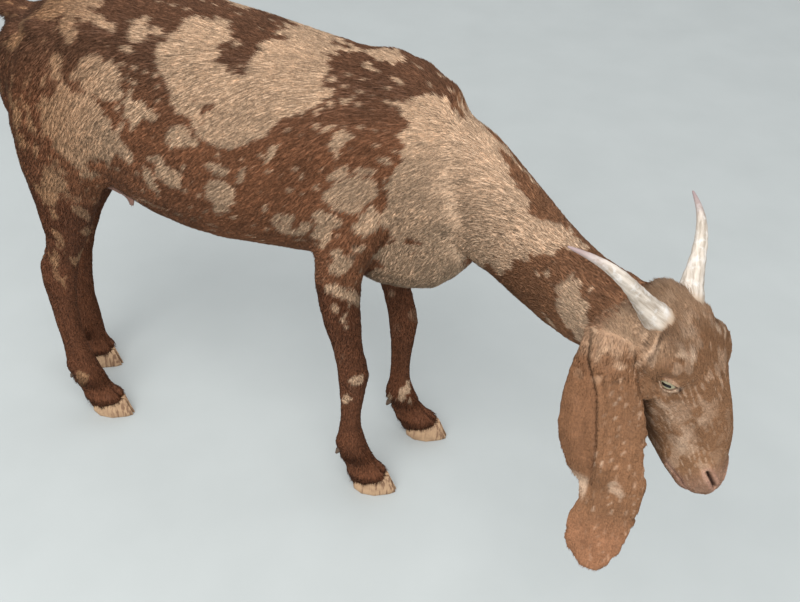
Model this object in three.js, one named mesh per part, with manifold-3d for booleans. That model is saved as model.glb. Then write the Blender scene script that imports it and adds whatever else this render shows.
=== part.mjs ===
// A long-eared doe standing with her head lowered and turned to her right, life size.
// Millimetres. +X is the way she faces, +Y her left, +Z up. The floor is Z = 0.
// Her flesh is modelled whole and then parted with thin cuts. Eyes, horns, claws and
// dewclaws are pieces of their own, seated with the same small clearance. The dimensions
// are laid out from a place on the floor between her fore feet; the origin is set last.
import * as THREE from 'three';
import { mergeVertices } from 'three/addons/utils/BufferGeometryUtils.js';
import Module from 'manifold-3d';

const manifold = await Module();
manifold.setup();

// ---- driving dimensions ----
const GAP = 0.3; // clearance between neighbouring pieces
const SIDES = { right: -1, left: 1 };

// Every form below is a row of named sections. `along` is the section's place on its middle
// line, counted in joints; wide is its half width, over and under its reach above and below
// the line (fore and aft on a leg), and taper makes it wider above (+) or below (-).

// Trunk, from the buttocks to the breast.
const TRUNK_LINE = [
  [-640, 0, 680], [-618, 0, 672], [-570, 0, 655], [-500, 0, 640], [-410, 0, 622], [-310, 0, 606],
  [-210, 0, 596], [-120, 0, 588], [-40, 0, 574], [30, 0, 556], [82, 0, 548], [108, 0, 545],
];
const TRUNK = [
  { along: 0, wide: 16, over: 20, under: 26 },
  { along: 1, wide: 58, over: 62, under: 84 },
  { along: 2, wide: 88, over: 112, under: 126 },
  { along: 3, wide: 104, over: 148, under: 148, taper: 0.02 },
  { along: 4, wide: 119, over: 168, under: 160, taper: -0.05 },
  { along: 5, wide: 134, over: 173, under: 169, taper: -0.1 },
  { along: 6, wide: 128, over: 169, under: 162, taper: -0.12 },
  { along: 7, wide: 106, over: 166, under: 162, taper: -0.12 },
  { along: 8, wide: 84, over: 168, under: 184, taper: -0.04 },
  { along: 9, wide: 70, over: 130, under: 178 },
  { along: 10, wide: 54, over: 82, under: 128 },
  { along: 11, wide: 24, over: 36, under: 66 },
];
// Swellings (+) and hollows (-) of the left side; the right side has the same, mirrored.
const TRUNK_FORMS = [
  { at: [-28, 36, 742], toward: [0, 0.3, 1], reach: 52, rise: 9 }, // top of the shoulder blade
  { at: [-30, 84, 640], toward: [0.1, 1, 0.1], reach: 120, rise: 9 }, // shoulder blade
  { at: [52, 66, 560], toward: [0.6, 1, 0], reach: 70, rise: 16 }, // point of the shoulder
  { at: [-90, 92, 530], toward: [0, 1, 0], reach: 90, rise: 10 }, // back of the upper arm
  { at: [-478, 84, 752], toward: [0.2, 1, 0.7], reach: 50, rise: 13 }, // hip bone
  { at: [-425, 108, 690], toward: [0, 1, 0.3], reach: 80, rise: -13 }, // hollow of the flank
  { at: [-600, 46, 708], toward: [-0.5, 0.7, 0.4], reach: 45, rise: 9 }, // pin bone
];

const NECK_LINE = [
  [-10, 0, 612], [70, -14, 596], [140, -58, 574], [208, -124, 560], [268, -196, 572],
  [318, -250, 597], [346, -266, 618],
];
const NECK = [
  { along: 0, wide: 58, over: 100, under: 120 },
  { along: 1, wide: 58, over: 76, under: 124, taper: -0.1 },
  { along: 2, wide: 52, over: 61, under: 101, taper: -0.08 },
  { along: 3, wide: 46, over: 56, under: 86 },
  { along: 4, wide: 42, over: 50, under: 72 },
  { along: 5, wide: 41, over: 44, under: 58 },
  { along: 6, wide: 34, over: 30, under: 34 },
];

const TAIL_LINE = [[-580, 0, 716], [-634, 0, 728], [-669, 0, 712], [-690, 0, 678], [-701, 0, 636]];
const TAIL = [
  { along: 0, wide: 24, over: 15, under: 18 },
  { along: 1, wide: 24, over: 14, under: 15 },
  { along: 2, wide: 25, over: 12, under: 12 },
  { along: 3, wide: 20, over: 9, under: 9 },
  { along: 4, wide: 4, over: 3, under: 3 },
];

const UDDER_LINE = [[-512, 0, 506], [-492, 0, 487], [-462, 0, 474], [-436, 0, 476], [-420, 0, 486]];
const UDDER = [
  { along: 0, wide: 12, over: 12, under: 12 },
  { along: 1, wide: 31, over: 28, under: 24 },
  { along: 2, wide: 35, over: 30, under: 26 },
  { along: 3, wide: 27, over: 24, under: 18 },
  { along: 4, wide: 8, over: 10, under: 7 },
];
const TEAT_LINE = [[-458, 17, 466], [-455, 20, 450], [-451, 22, 436]];
const TEAT = [
  { along: 0, wide: 9, over: 9, under: 9 },
  { along: 1, wide: 7, over: 7, under: 7 },
  { along: 2, wide: 4, over: 4, under: 4 },
];

// The head has a frame of its own: its origin midway between the eyes, +X to the muzzle,
// +Y to the left eye and +Z out of the forehead.
const HEAD_AT = [379, -292, 563];
const HEAD_YAW = -37.4;
const HEAD_NOD = 46.3;
const HEAD_TILT = -9.5;
const HEAD_LINE = [
  [-104, 0, -6], [-92, 0, -6], [-66, 0, -7], [-34, 0, -8], [0, 0, -8], [34, 0, -8],
  [68, 0, -10], [98, 0, -14], [124, 0, -18], [142, 0, -23], [152, 0, -26],
];
const HEAD = [
  { along: 0, wide: 20, over: 24, under: 24 },
  { along: 1, wide: 38, over: 42, under: 44 },
  { along: 2, wide: 48, over: 57, under: 60, taper: 0.08 },
  { along: 3, wide: 57, over: 65, under: 67, taper: 0.15 },
  { along: 4, wide: 55, over: 64, under: 64, taper: 0.2 },
  { along: 5, wide: 45, over: 60, under: 60, taper: 0.08 },
  { along: 6, wide: 37, over: 54, under: 58, taper: -0.06 },
  { along: 7, wide: 31, over: 42, under: 52, taper: -0.12 },
  { along: 8, wide: 27, over: 27, under: 44, taper: -0.14 },
  { along: 9, wide: 21, over: 19, under: 33, taper: -0.12 },
  { along: 10, wide: 10, over: 8, under: 14 },
];
const HEAD_FORMS = [
  { at: [-40, 46, 34], toward: [0, 0.8, 0.6], reach: 44, rise: 5 }, // temple, before the horn
  { at: [-4, 57, 33], toward: [0, 0.85, 0.5], reach: 40, rise: 17 }, // brow over the eye
  { at: [4, 64, 29], toward: [0, 1, 0.35], reach: 27, rise: -13 }, // eye socket
  { at: [6, 56, 0], toward: [0, 1, 0], reach: 24, rise: 4 }, // below the eye
  { at: [-34, 50, -36], toward: [0, 1, -0.2], reach: 42, rise: 5 }, // cheek muscle
  { at: [130, 24, -4], toward: [0.2, 1, 0.3], reach: 20, rise: 4 }, // wing of the nostril
  { at: [96, 30, -36], toward: [0, 1, 0], reach: 26, rise: 3 }, // corner of the lips
];
const EYE_AT = [2, 43, 25];
const EYE_RADIUS = 14;

// A horn sweeps back and out from its root in a bow that is highest two thirds of the way up.
const HORN_ROOT = [-55, 22, 26];
const HORN_TIP = [-182, 124, 26];
const HORN_BOW = 17;
const HORN_JOINTS = 5;
const HORN = [
  { along: 0, wide: 21, over: 21, under: 21 },
  { along: 0.5, wide: 20, over: 20, under: 20 },
  { along: 1, wide: 15, over: 16, under: 16 },
  { along: 2, wide: 10, over: 11, under: 11 },
  { along: 3, wide: 8, over: 8, under: 8 },
  { along: 4, wide: 5, over: 5, under: 5 },
  { along: 5, wide: 1.6, over: 1.6, under: 1.6 },
];

// Ears: the middle line of each hanging leaf, and the way its outer face looks. `curl` is how
// far its edges bend in toward the head.
const EAR_LINES = {
  right: [
    [318, -292, 624], [301, -325, 618], [300, -349, 592], [304, -368, 545],
    [311, -387, 498], [336, -405, 452], [325, -421, 406], [329, -437, 360],
  ],
  left: [
    [358, -232, 614], [375, -201, 602], [385, -186, 577], [388, -176, 536],
    [390, -166, 488], [391, -158, 440], [392, -152, 392], [393, -148, 344],
  ],
};
const EAR_OUTWARD = { right: [-0.2, -0.95, 0.25], left: [0.45, 0.88, 0] };
const EAR = [
  { along: 0, wide: 20, over: 12, under: 12 },
  { along: 1, wide: 30, over: 8, under: 8, curl: 6 },
  { along: 2, wide: 40, over: 3.6, under: 3.6, curl: 15 },
  { along: 3, wide: 49, over: 2.5, under: 2.5, curl: 18 },
  { along: 4, wide: 51, over: 2.3, under: 2.3, curl: 15 },
  { along: 5, wide: 36, over: 2.2, under: 2.2, curl: 10 },
  { along: 6, wide: 35, over: 2.1, under: 2.1, curl: 4 },
  { along: 6.6, wide: 29, over: 1.9, under: 1.9, curl: 2 },
  { along: 7, wide: 12, over: 1.6, under: 1.6 },
];

// Legs: the joints that each one's middle line runs through, and the girths along it.
const FORELEG_LINES = {
  right: [[-54, -50, 640], [-98, -83, 440], [-71, -80, 243], [-67, -75, 92], [-31, -71, 10]],
  left: [[-50, 50, 640], [-76, 83, 440], [-34, 82, 236], [-24, 80, 76], [20, 80, 10]],
};
const FORELEG = [
  { along: 0, wide: 26, over: 44, under: 50 },
  { along: 0.5, wide: 35, over: 60, under: 58 },
  { along: 0.85, wide: 33, over: 46, under: 42 },
  { along: 1.1, wide: 29, over: 38, under: 33 },
  { along: 1.45, wide: 24, over: 31, under: 28 },
  { along: 1.75, wide: 20, over: 24, under: 22 },
  { along: 1.95, wide: 22, over: 27, under: 23 },
  { along: 2.1, wide: 20, over: 24, under: 23 },
  { along: 2.35, wide: 16, over: 18, under: 20 },
  { along: 2.7, wide: 16.5, over: 17.5, under: 20 },
  { along: 2.95, wide: 22, over: 22, under: 27 },
  { along: 3.2, wide: 21, over: 22, under: 27 },
  { along: 3.45, wide: 22, over: 24, under: 27 },
  { along: 3.7, wide: 24, over: 27, under: 32 },
  { along: 4, wide: 25, over: 31, under: 33 },
];
const HINDLEG_LINES = {
  right: [
    [-520, -44, 740], [-520, -82, 575], [-546, -70, 410], [-575, -60, 292], [-563, -46, 92],
    [-526, -40, 10],
  ],
  left: [
    [-515, 44, 740], [-508, 82, 575], [-568, 76, 420], [-609, 74, 304], [-622, 75, 94],
    [-606, 75, 10],
  ],
};
const HINDLEG = [
  { along: 0, wide: 32, over: 60, under: 50 },
  { along: 0.5, wide: 44, over: 88, under: 76 },
  { along: 1.1, wide: 45, over: 80, under: 73 },
  { along: 1.5, wide: 37, over: 62, under: 57 },
  { along: 2, wide: 28, over: 42, under: 37 },
  { along: 2.5, wide: 21, over: 32, under: 27 },
  { along: 2.88, wide: 21, over: 30, under: 36 },
  { along: 3.1, wide: 20, over: 25, under: 30 },
  { along: 3.4, wide: 17, over: 20, under: 26 },
  { along: 3.75, wide: 17, over: 20, under: 26 },
  { along: 3.97, wide: 22, over: 24, under: 32 },
  { along: 4.25, wide: 21, over: 23, under: 31 },
  { along: 4.5, wide: 22, over: 25, under: 30 },
  { along: 4.72, wide: 24, over: 28, under: 34 },
  { along: 5, wide: 25, over: 31, under: 34 },
];

// Feet: two claws with a slit between them, under a coronet that rises toward the toe.
const FEET = {
  foreleg_right: [-35, -71],
  foreleg_left: [16, 80],
  hindleg_right: [-530, -40],
  hindleg_left: [-610, 75],
};
const CLAW = [
  { along: 0, toe: 31, heel: 30, wide: 23.5 },
  { along: 0.5, toe: 38, heel: 31, wide: 25 },
  { along: 0.85, toe: 44, heel: 30, wide: 25 },
  { along: 1, toe: 45, heel: 28, wide: 24.5 },
];
const CLAW_SLIT = 1.2;
const CLAW_POINT = 1.25; // how pointed the toe is
const CLAW_HEEL = 0.75; // the same for the heel, which is round
const CORONET_HEIGHT = 24;
const CORONET_SLOPE = 17; // degrees

// A dewclaw, its middle line counted from the fetlock; +Y is outward.
const DEWCLAW_LINE = [[-12, 9, -5], [-23, 11, -12], [-29, 12, -24]];
const DEWCLAW = [
  { along: 0, wide: 7, over: 7, under: 7 },
  { along: 1, wide: 8, over: 7, under: 7 },
  { along: 2, wide: 5, over: 3, under: 3 },
];

// Where the flesh is parted: a place on each cut and the way the far piece lies.
const NECK_CUT = { at: [72, 0, 590], normal: [0.97, 0, 0.2425] };
const HEAD_CUT = { at: [-67, 0, -25], normal: [0.8, 0, 0.6] }; // in the head's frame
const TAIL_CUT = { at: [-641, 0, 738], normal: [-1, 0, 0.1] };

// The blocks, corner to corner, inside which a left leg is parted from the trunk.
const FORELEG_BLOCK = [[-200, 20, -20], [120, 220, 380]];
const ELBOW_BLOCK = [[-62, 50, 300], [62, 220, 432]]; // counted forward from the elbow
const HINDLEG_BLOCK = [[-720, 8, -20], [-420, 220, 400]];
const THIGH_BLOCK = [[-200, 33.2, -200], [130, 220, 0]]; // counted from the stifle
const STIFLE_AT = [-510, 0, 492];
const THIGH_SLOPE = 24.4; // degrees, down toward the belly

// How finely each form is faceted: sections along it and points round each one.
const DETAIL = {
  trunk: { rows: 22, around: 24 },
  neck: { rows: 11, around: 18 },
  head: { rows: 20, around: 20 },
  tail: { rows: 7, around: 8 },
  udder: { rows: 6, around: 10 },
  teat: { rows: 3, around: 6 },
  ear: { rows: 13, around: 12 },
  horn: { rows: 9, around: 8 },
  foreleg: { rows: 22, around: 10 },
  hindleg: { rows: 23, around: 10 },
  claw: { around: 10 },
  dewclaw: { rows: 3, around: 6 },
  eye: { rows: 7, around: 12 },
};
const ROUNDNESS = 2.2; // 2 is an ellipse, more is squarer

// Colour, roughness of each kind of surface.
const FINISHES = {
  coat: [0x6b4632, 0.85],
  ear: [0x8d6149, 0.8],
  bare: [0xb98a7a, 0.7],
  eye: [0x3a2a1c, 0.15],
  horn: [0xcac5b8, 0.6],
  claw: [0xc9a57c, 0.55],
  dewclaw: [0x6e5a48, 0.6],
};

// ---- shaping ----
// The value of one measure at a place along its stations, on a smooth curve through them.
function measureAt(stations, key, along) {
  const last = stations.length - 1;
  const value = (k) => stations[THREE.MathUtils.clamp(k, 0, last)][key] ?? 0;
  const place = (k) => stations[THREE.MathUtils.clamp(k, 0, last)].along;
  let i = 0;
  while (i < last - 1 && along > place(i + 1)) i += 1;
  const span = place(i + 1) - place(i);
  const t = THREE.MathUtils.clamp((along - place(i)) / span, 0, 1);
  const slope = (k) => (value(k + 1) - value(k - 1)) / (place(k + 1) - place(k - 1));
  const start = value(i) + slope(i) * span * t;
  const finish = value(i + 1) - slope(i + 1) * span * (1 - t);
  return THREE.MathUtils.lerp(start, finish, t * t * (3 - 2 * t));
}

// A closed geometry through rings of points, each end closed by a fan.
function throughRings(rings) {
  const around = rings[0].length;
  const points = rings.flat();
  const index = [];
  const joinTo = (ring, next) => {
    for (let j = 0; j < around; j += 1) {
      const k = (j + 1) % around;
      index.push(ring + j, ring + k, next + j);
      index.push(ring + k, next + k, next + j);
    }
  };
  for (let i = 0; i < rings.length - 1; i += 1) joinTo(i * around, (i + 1) * around);
  for (const end of [0, rings.length - 1]) {
    const middle = new THREE.Vector3();
    for (const point of rings[end]) middle.addScaledVector(point, 1 / around);
    points.push(middle);
    for (let j = 0; j < around; j += 1) {
      const pair = [end * around + j, end * around + ((j + 1) % around)];
      if (end === 0) pair.reverse();
      index.push(...pair, points.length - 1);
    }
  }
  const geometry = new THREE.BufferGeometry().setFromPoints(points);
  geometry.setIndex(index);
  return geometry;
}

// One section: a rounded box of the given measures in the plane of `side` and `top`.
function sectionRing(middle, side, top, size, around) {
  const ring = [];
  for (let j = 0; j < around; j += 1) {
    const angle = (2 * Math.PI * j) / around;
    const c = Math.cos(angle);
    const s = Math.sin(angle);
    const widthHere = size.wide * (1 + size.taper * s);
    const across = Math.sign(c) * Math.abs(c) ** (2 / ROUNDNESS) * widthHere;
    const reach = Math.sign(s) * Math.abs(s) ** (2 / ROUNDNESS) * (s > 0 ? size.over : size.under);
    const rise = reach - size.curl * (across / size.wide) ** 2;
    ring.push(middle.clone().addScaledVector(side, across).addScaledVector(top, rise));
  }
  return ring;
}

// A form through sections set along a line. `up` says which way each section's top faces,
// and `grow` adds a clearance all round.
function loft(line, stations, { rows, around }, { up = [0, 0, 1], grow = 0 } = {}) {
  const curve = new THREE.CatmullRomCurve3(line.map((point) => new THREE.Vector3(...point)));
  const upward = new THREE.Vector3(...up);
  const end = stations[stations.length - 1].along;
  const rings = [];
  for (let i = 0; i <= rows; i += 1) {
    const along = (end * i) / rows;
    const middle = curve.getPoint(along / (line.length - 1));
    const ahead = curve.getTangent(along / (line.length - 1));
    const top = upward.clone().addScaledVector(ahead, -upward.dot(ahead)).normalize();
    const side = new THREE.Vector3().crossVectors(top, ahead);
    const size = {};
    for (const key of ['taper', 'curl']) size[key] = measureAt(stations, key, along);
    for (const key of ['wide', 'over', 'under']) size[key] = measureAt(stations, key, along) + grow;
    if (i === 0) middle.addScaledVector(ahead, -grow);
    if (i === rows) middle.addScaledVector(ahead, grow);
    rings.push(sectionRing(middle, side, top, size, around));
  }
  return throughRings(rings);
}

// Raises or sinks the surface round a place, the same on both sides of the middle.
function sculpt(geometry, forms) {
  const position = geometry.attributes.position;
  const point = new THREE.Vector3();
  for (const { at, toward, reach, rise } of forms) {
    for (const side of Object.values(SIDES)) {
      const centre = new THREE.Vector3(at[0], at[1] * side, at[2]);
      const way = new THREE.Vector3(toward[0], toward[1] * side, toward[2]).normalize();
      for (let i = 0; i < position.count; i += 1) {
        point.fromBufferAttribute(position, i);
        const near = Math.max(0, 1 - (point.distanceTo(centre) / reach) ** 2);
        point.addScaledVector(way, rise * near * near);
        position.setXYZ(i, point.x, point.y, point.z);
      }
    }
  }
  return geometry;
}

// ---- joining and cutting ----
function toSolid(geometry) {
  const bare = geometry.index ? geometry.clone() : geometry;
  bare.deleteAttribute('normal');
  bare.deleteAttribute('uv');
  const merged = mergeVertices(bare, 1e-3);
  const vertProperties = new Float32Array(merged.attributes.position.array);
  const triVerts = new Uint32Array(merged.index.array);
  return new manifold.Manifold(new manifold.Mesh({ numProp: 3, vertProperties, triVerts }));
}

function toGeometry(solid) {
  const { vertProperties, triVerts } = solid.getMesh();
  const geometry = new THREE.BufferGeometry();
  geometry.setAttribute('position', new THREE.BufferAttribute(vertProperties, 3));
  geometry.setIndex(new THREE.BufferAttribute(triVerts, 1));
  return geometry;
}

// A block between two opposite corners, as a plain cutter.
function block(corner, opposite) {
  const size = opposite.map((value, axis) => Math.abs(value - corner[axis]));
  const middle = opposite.map((value, axis) => (value + corner[axis]) / 2);
  return new THREE.BoxGeometry(...size).translate(...middle);
}

// A cutter that fills everything beyond a plane, as far as the animal reaches.
function beyond(at, normal) {
  const reach = 2000;
  const cutter = new THREE.BoxGeometry(reach, reach, reach).translate(reach / 2, 0, 0);
  const forward = new THREE.Vector3(1, 0, 0);
  const way = new THREE.Vector3(...normal).normalize();
  const turn = new THREE.Quaternion().setFromUnitVectors(forward, way);
  return toSolid(cutter.applyQuaternion(turn).translate(...at));
}

// Parts a solid at a plane with a thin cut: what lies before it and what lies beyond it.
function part(whole, at, normal) {
  const way = new THREE.Vector3(...normal).normalize();
  const shifted = (by) => new THREE.Vector3(...at).addScaledVector(way, by).toArray();
  return {
    before: whole.subtract(beyond(shifted(-GAP / 2), normal)),
    after: whole.intersect(beyond(shifted(GAP / 2), normal)),
  };
}

// ---- the flesh ----
const headTurn = new THREE.Euler(
  THREE.MathUtils.degToRad(HEAD_TILT),
  THREE.MathUtils.degToRad(HEAD_NOD),
  THREE.MathUtils.degToRad(HEAD_YAW),
  'ZYX',
);
const headFrame = new THREE.Matrix4().makeRotationFromEuler(headTurn).setPosition(...HEAD_AT);
const toBody = (point) => new THREE.Vector3(...point).applyMatrix4(headFrame).toArray();
const onSide = (line, side) => line.map(([x, y, z]) => [x, y * side, z]);

const trunkForm = (grow) => {
  return toSolid(sculpt(loft(TRUNK_LINE, TRUNK, DETAIL.trunk, { grow }), TRUNK_FORMS));
};
const headForm = (grow) => {
  const form = sculpt(loft(HEAD_LINE, HEAD, DETAIL.head, { grow }), HEAD_FORMS);
  return toSolid(form.applyMatrix4(headFrame));
};
const neckForm = () => toSolid(loft(NECK_LINE, NECK, DETAIL.neck));
const tailForm = () => toSolid(loft(TAIL_LINE, TAIL, DETAIL.tail));
const earForm = (name) => toSolid(loft(EAR_LINES[name], EAR, DETAIL.ear, { up: EAR_OUTWARD[name] }));

const LEGS = {
  foreleg: { lines: FORELEG_LINES, stations: FORELEG },
  hindleg: { lines: HINDLEG_LINES, stations: HINDLEG },
};
function legForm(leg, name) {
  const { lines, stations } = LEGS[leg];
  return toSolid(loft(lines[name], stations, DETAIL[leg], { up: [1, 0, 0] }));
}

// Eyes and horns, in the head's frame.
const eyeForm = (side, grow) => {
  const [x, y, z] = EYE_AT;
  const ball = new THREE.SphereGeometry(EYE_RADIUS + grow, DETAIL.eye.around, DETAIL.eye.rows);
  return ball.translate(x, y * side, z);
};
const hornLine = Array.from({ length: HORN_JOINTS + 1 }, (_, joint) => {
  const t = joint / HORN_JOINTS;
  const [x, y, z] = HORN_ROOT.map((value, axis) => THREE.MathUtils.lerp(value, HORN_TIP[axis], t));
  return [x, y, z + HORN_BOW * Math.sin(Math.PI * t ** 1.5)];
});
const hornForm = (side, grow) => loft(onSide(hornLine, side), HORN, DETAIL.horn, { grow });

// An ear is parted where it leaves the head; the stump before the cut belongs to the head.
function earSplit(name) {
  const [root, start, next] = EAR_LINES[name];
  const outward = next.map((value, axis) => value - root[axis]);
  return part(earForm(name), start, outward);
}

const ears = {};
let flesh = trunkForm(0).add(neckForm()).add(tailForm()).add(headForm(0));
for (const [name, side] of Object.entries(SIDES)) {
  flesh = flesh.add(legForm('foreleg', name)).add(legForm('hindleg', name));
  const ear = earSplit(name);
  flesh = flesh.add(ear.before);
  ears[name] = ear.after.subtract(headForm(GAP));
  flesh = flesh.subtract(toSolid(eyeForm(side, GAP).applyMatrix4(headFrame)));
  flesh = flesh.subtract(toSolid(hornForm(side, GAP).applyMatrix4(headFrame)));
}

// The region in which a leg is cut free. The trunk is cut a clearance outside it.
function legRegion(leg, name, grow) {
  const side = SIDES[name];
  const shape = ([low, high]) => block(
    [low[0] - grow, (low[1] - grow) * side, low[2]],
    [high[0] + grow, high[1] * side, high[2] + grow],
  );
  if (leg === 'foreleg') {
    const elbow = FORELEG_LINES[name][1][0];
    return toSolid(shape(FORELEG_BLOCK)).add(toSolid(shape(ELBOW_BLOCK).translate(elbow, 0, 0)));
  }
  const tilt = THREE.MathUtils.degToRad(THIGH_SLOPE);
  const thigh = shape(THIGH_BLOCK).rotateY(tilt).translate(...STIFLE_AT);
  return toSolid(shape(HINDLEG_BLOCK)).add(toSolid(thigh));
}

const pieces = new Map();
let trunk = flesh;
for (const name of Object.keys(SIDES)) {
  for (const leg of Object.keys(LEGS)) {
    pieces.set(`${leg}_${name}`, flesh.intersect(legRegion(leg, name, 0)));
    trunk = trunk.subtract(legRegion(leg, name, GAP));
  }
}
const neckSplit = part(trunk, NECK_CUT.at, NECK_CUT.normal);
const headWay = new THREE.Vector3(...HEAD_CUT.normal).transformDirection(headFrame).toArray();
const headSplit = part(neckSplit.after, toBody(HEAD_CUT.at), headWay);
const tailSplit = part(neckSplit.before, TAIL_CUT.at, TAIL_CUT.normal);
pieces.set('head', headSplit.after);
pieces.set('neck', headSplit.before);
pieces.set('trunk', tailSplit.before);
pieces.set('tail', tailSplit.after);

// The udder and its teats, seated under the groin.
function udderForm() {
  let udder = toSolid(loft(UDDER_LINE, UDDER, DETAIL.udder));
  for (const side of Object.values(SIDES)) {
    udder = udder.add(toSolid(loft(onSide(TEAT_LINE, side), TEAT, DETAIL.teat, { up: [1, 0, 0] })));
  }
  return udder.subtract(trunkForm(GAP));
}
pieces.set('udder', udderForm());

// ---- feet ----
const coronetTilt = Math.tan(THREE.MathUtils.degToRad(CORONET_SLOPE));
function clawForm(side) {
  const { around } = DETAIL.claw;
  const rings = [];
  for (const { along, toe, heel, wide } of CLAW) {
    const ring = [];
    for (let j = 0; j < around; j += 1) {
      const angle = (2 * Math.PI * j) / around;
      const x = Math.cos(angle) * (Math.cos(angle) > 0 ? toe : heel);
      const roundness = Math.cos(angle) > 0 ? CLAW_POINT : CLAW_HEEL;
      const y = CLAW_SLIT / 2 + Math.max(0, Math.sin(angle)) ** roundness * wide;
      const top = CORONET_HEIGHT + x * coronetTilt - GAP;
      ring.push(new THREE.Vector3(x, y * side, top * (1 - along)));
    }
    rings.push(side > 0 ? ring : ring.reverse());
  }
  return throughRings(rings.reverse());
}
const coronet = ([x, y]) => beyond([x, y, CORONET_HEIGHT], [coronetTilt, 0, -1]);

function dewclawForm(fetlock, side, grow) {
  const placed = (point) => point.map((value, axis) => value + fetlock[axis]);
  return loft(onSide(DEWCLAW_LINE, side).map(placed), DEWCLAW, DETAIL.dewclaw, { grow });
}

// ---- the animal ----
const goat = new THREE.Group();
function addMesh(group, name, geometry, finish) {
  const [color, roughness] = FINISHES[finish];
  const material = new THREE.MeshStandardMaterial({ color, roughness, metalness: 0 });
  const mesh = new THREE.Mesh(geometry, material);
  mesh.name = name;
  group.add(mesh);
  return mesh;
}

// Gives a leg its two claws and two dewclaws, and trims the flesh to meet them.
function shoeLeg(key, fetlock, side) {
  const foot = FEET[key];
  let leg = pieces.get(key).subtract(coronet(foot));
  for (const [place, way] of Object.entries({ inner: -side, outer: side })) {
    leg = leg.subtract(toSolid(dewclawForm(fetlock, way, GAP)));
    addMesh(goat, `dewclaw_${key}_${place}`, dewclawForm(fetlock, way, 0), 'dewclaw');
    const claw = addMesh(goat, `claw_${key}_${place}`, clawForm(way), 'claw');
    claw.position.set(foot[0], foot[1], 0);
  }
  pieces.set(key, leg);
}

for (const [name, side] of Object.entries(SIDES)) {
  for (const leg of Object.keys(LEGS)) shoeLeg(`${leg}_${name}`, LEGS[leg].lines[name].at(-2), side);
  addMesh(goat, `ear_${name}`, toGeometry(ears[name]), 'ear');
}
for (const [name, piece] of pieces) {
  addMesh(goat, name, toGeometry(piece), name === 'udder' ? 'bare' : 'coat');
}

const headGroup = new THREE.Group();
headGroup.position.set(...HEAD_AT);
headGroup.rotation.copy(headTurn);
for (const [name, side] of Object.entries(SIDES)) {
  addMesh(headGroup, `eye_${name}`, eyeForm(side, 0), 'eye');
  addMesh(headGroup, `horn_${name}`, hornForm(side, 0), 'horn');
}
goat.add(headGroup);

// The origin is on the floor, under the middle of the animal's length and breadth.
const bounds = new THREE.Box3().setFromObject(goat);
const middle = bounds.getCenter(new THREE.Vector3());
goat.position.set(-middle.x, -middle.y, -bounds.min.z);

export default goat;
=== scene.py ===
"""A life-size goat that stands with its head held low and turned to its right.

One skin is drawn over the flesh of the CAD model and lies inside it by the depth of the coat.
The coat is made of short pointed tufts that follow the lie of the hair.
Eyes, horns, claws and dewclaws are pieces of their own.
"""

import math

import bpy
import numpy as np
from mathutils import Matrix, Vector
from mathutils.bvhtree import BVHTree
from mathutils.kdtree import KDTree


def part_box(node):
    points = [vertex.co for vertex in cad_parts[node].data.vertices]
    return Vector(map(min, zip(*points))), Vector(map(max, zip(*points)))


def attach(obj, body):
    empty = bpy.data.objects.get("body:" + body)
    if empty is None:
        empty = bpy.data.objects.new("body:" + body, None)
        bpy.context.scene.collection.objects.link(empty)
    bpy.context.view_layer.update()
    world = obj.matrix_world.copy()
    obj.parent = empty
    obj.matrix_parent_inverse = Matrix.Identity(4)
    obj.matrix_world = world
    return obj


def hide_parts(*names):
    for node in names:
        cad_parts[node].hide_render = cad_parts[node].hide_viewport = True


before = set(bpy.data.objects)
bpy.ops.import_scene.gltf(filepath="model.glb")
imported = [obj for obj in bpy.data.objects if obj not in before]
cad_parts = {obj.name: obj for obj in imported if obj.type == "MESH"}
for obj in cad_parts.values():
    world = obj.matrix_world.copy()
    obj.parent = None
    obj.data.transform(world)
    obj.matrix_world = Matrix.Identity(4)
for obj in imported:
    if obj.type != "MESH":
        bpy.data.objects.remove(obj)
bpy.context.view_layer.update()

MM = 0.001
SIDES = {"right": -1, "left": 1}
LEGS = ["foreleg_right", "foreleg_left", "hindleg_right", "hindleg_left"]
EARS = ["ear_right", "ear_left"]
FLESH = ["trunk", "neck", "head", "tail", "udder"] + LEGS + EARS
CLAWS = [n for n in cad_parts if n.startswith("claw_")]
DEWCLAWS = [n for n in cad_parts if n.startswith("dewclaw_")]

# Camera
CAMERA_AT = (0.4051, -1.1595, 1.386)
CAMERA_TURN = 13.1
CAMERA_DOWN = 37.7
CAMERA_ROLL = 3.83
CAMERA_LENS = 49.455
SENSOR = 36.0

# Light and floor
SKY_COLOUR = (0.98, 0.99, 1.0, 1)
SKY_STRENGTH = 1.15
LAMP_SIZE = (2.6, 2.2)
LAMP_WATTS = 105
LAMP_COLOUR = (1.0, 0.985, 0.96)
LAMP_AT = Vector((0.0, -1.7, 2.5))
LAMP_AIM = Vector((0, 0, 0.4))
FLOOR_SIZE = 12

# Skin
VOXEL = 6.2 * MM
CLOSE_GAPS = 0.5 * MM
THICKEN_EAR = 4.2 * MM
MERGE = 0.01 * MM
PLUG_RADIUS = 15 * MM
# The share of a horn's corners that count as its root
HORN_ROOT_SHARE = 0.3
# Each round of smoothing pulls a vertex in towards its neighbours, then pushes it out again
RELAX_IN = 0.5
RELAX_OUT = -0.53
RELAX_ROUNDS = 110
HEAD_ROUNDS = 12
EAR_ROUNDS = 100
UNDER_EAR_ROUNDS = 50
EAR_SEAM_ROUNDS = 60
# How much of the last smoothing the ears and the head take
EAR_EASE = 0.9
HEAD_EASE = 0.5
# How much of the first smoothing each kind of flesh takes
RELAX = {"trunk": 1.0, "neck": 1.0, "head": 0.22, "tail": 0.3, "udder": 0.3, "leg": 0.5, "ear": 0.1}
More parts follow.
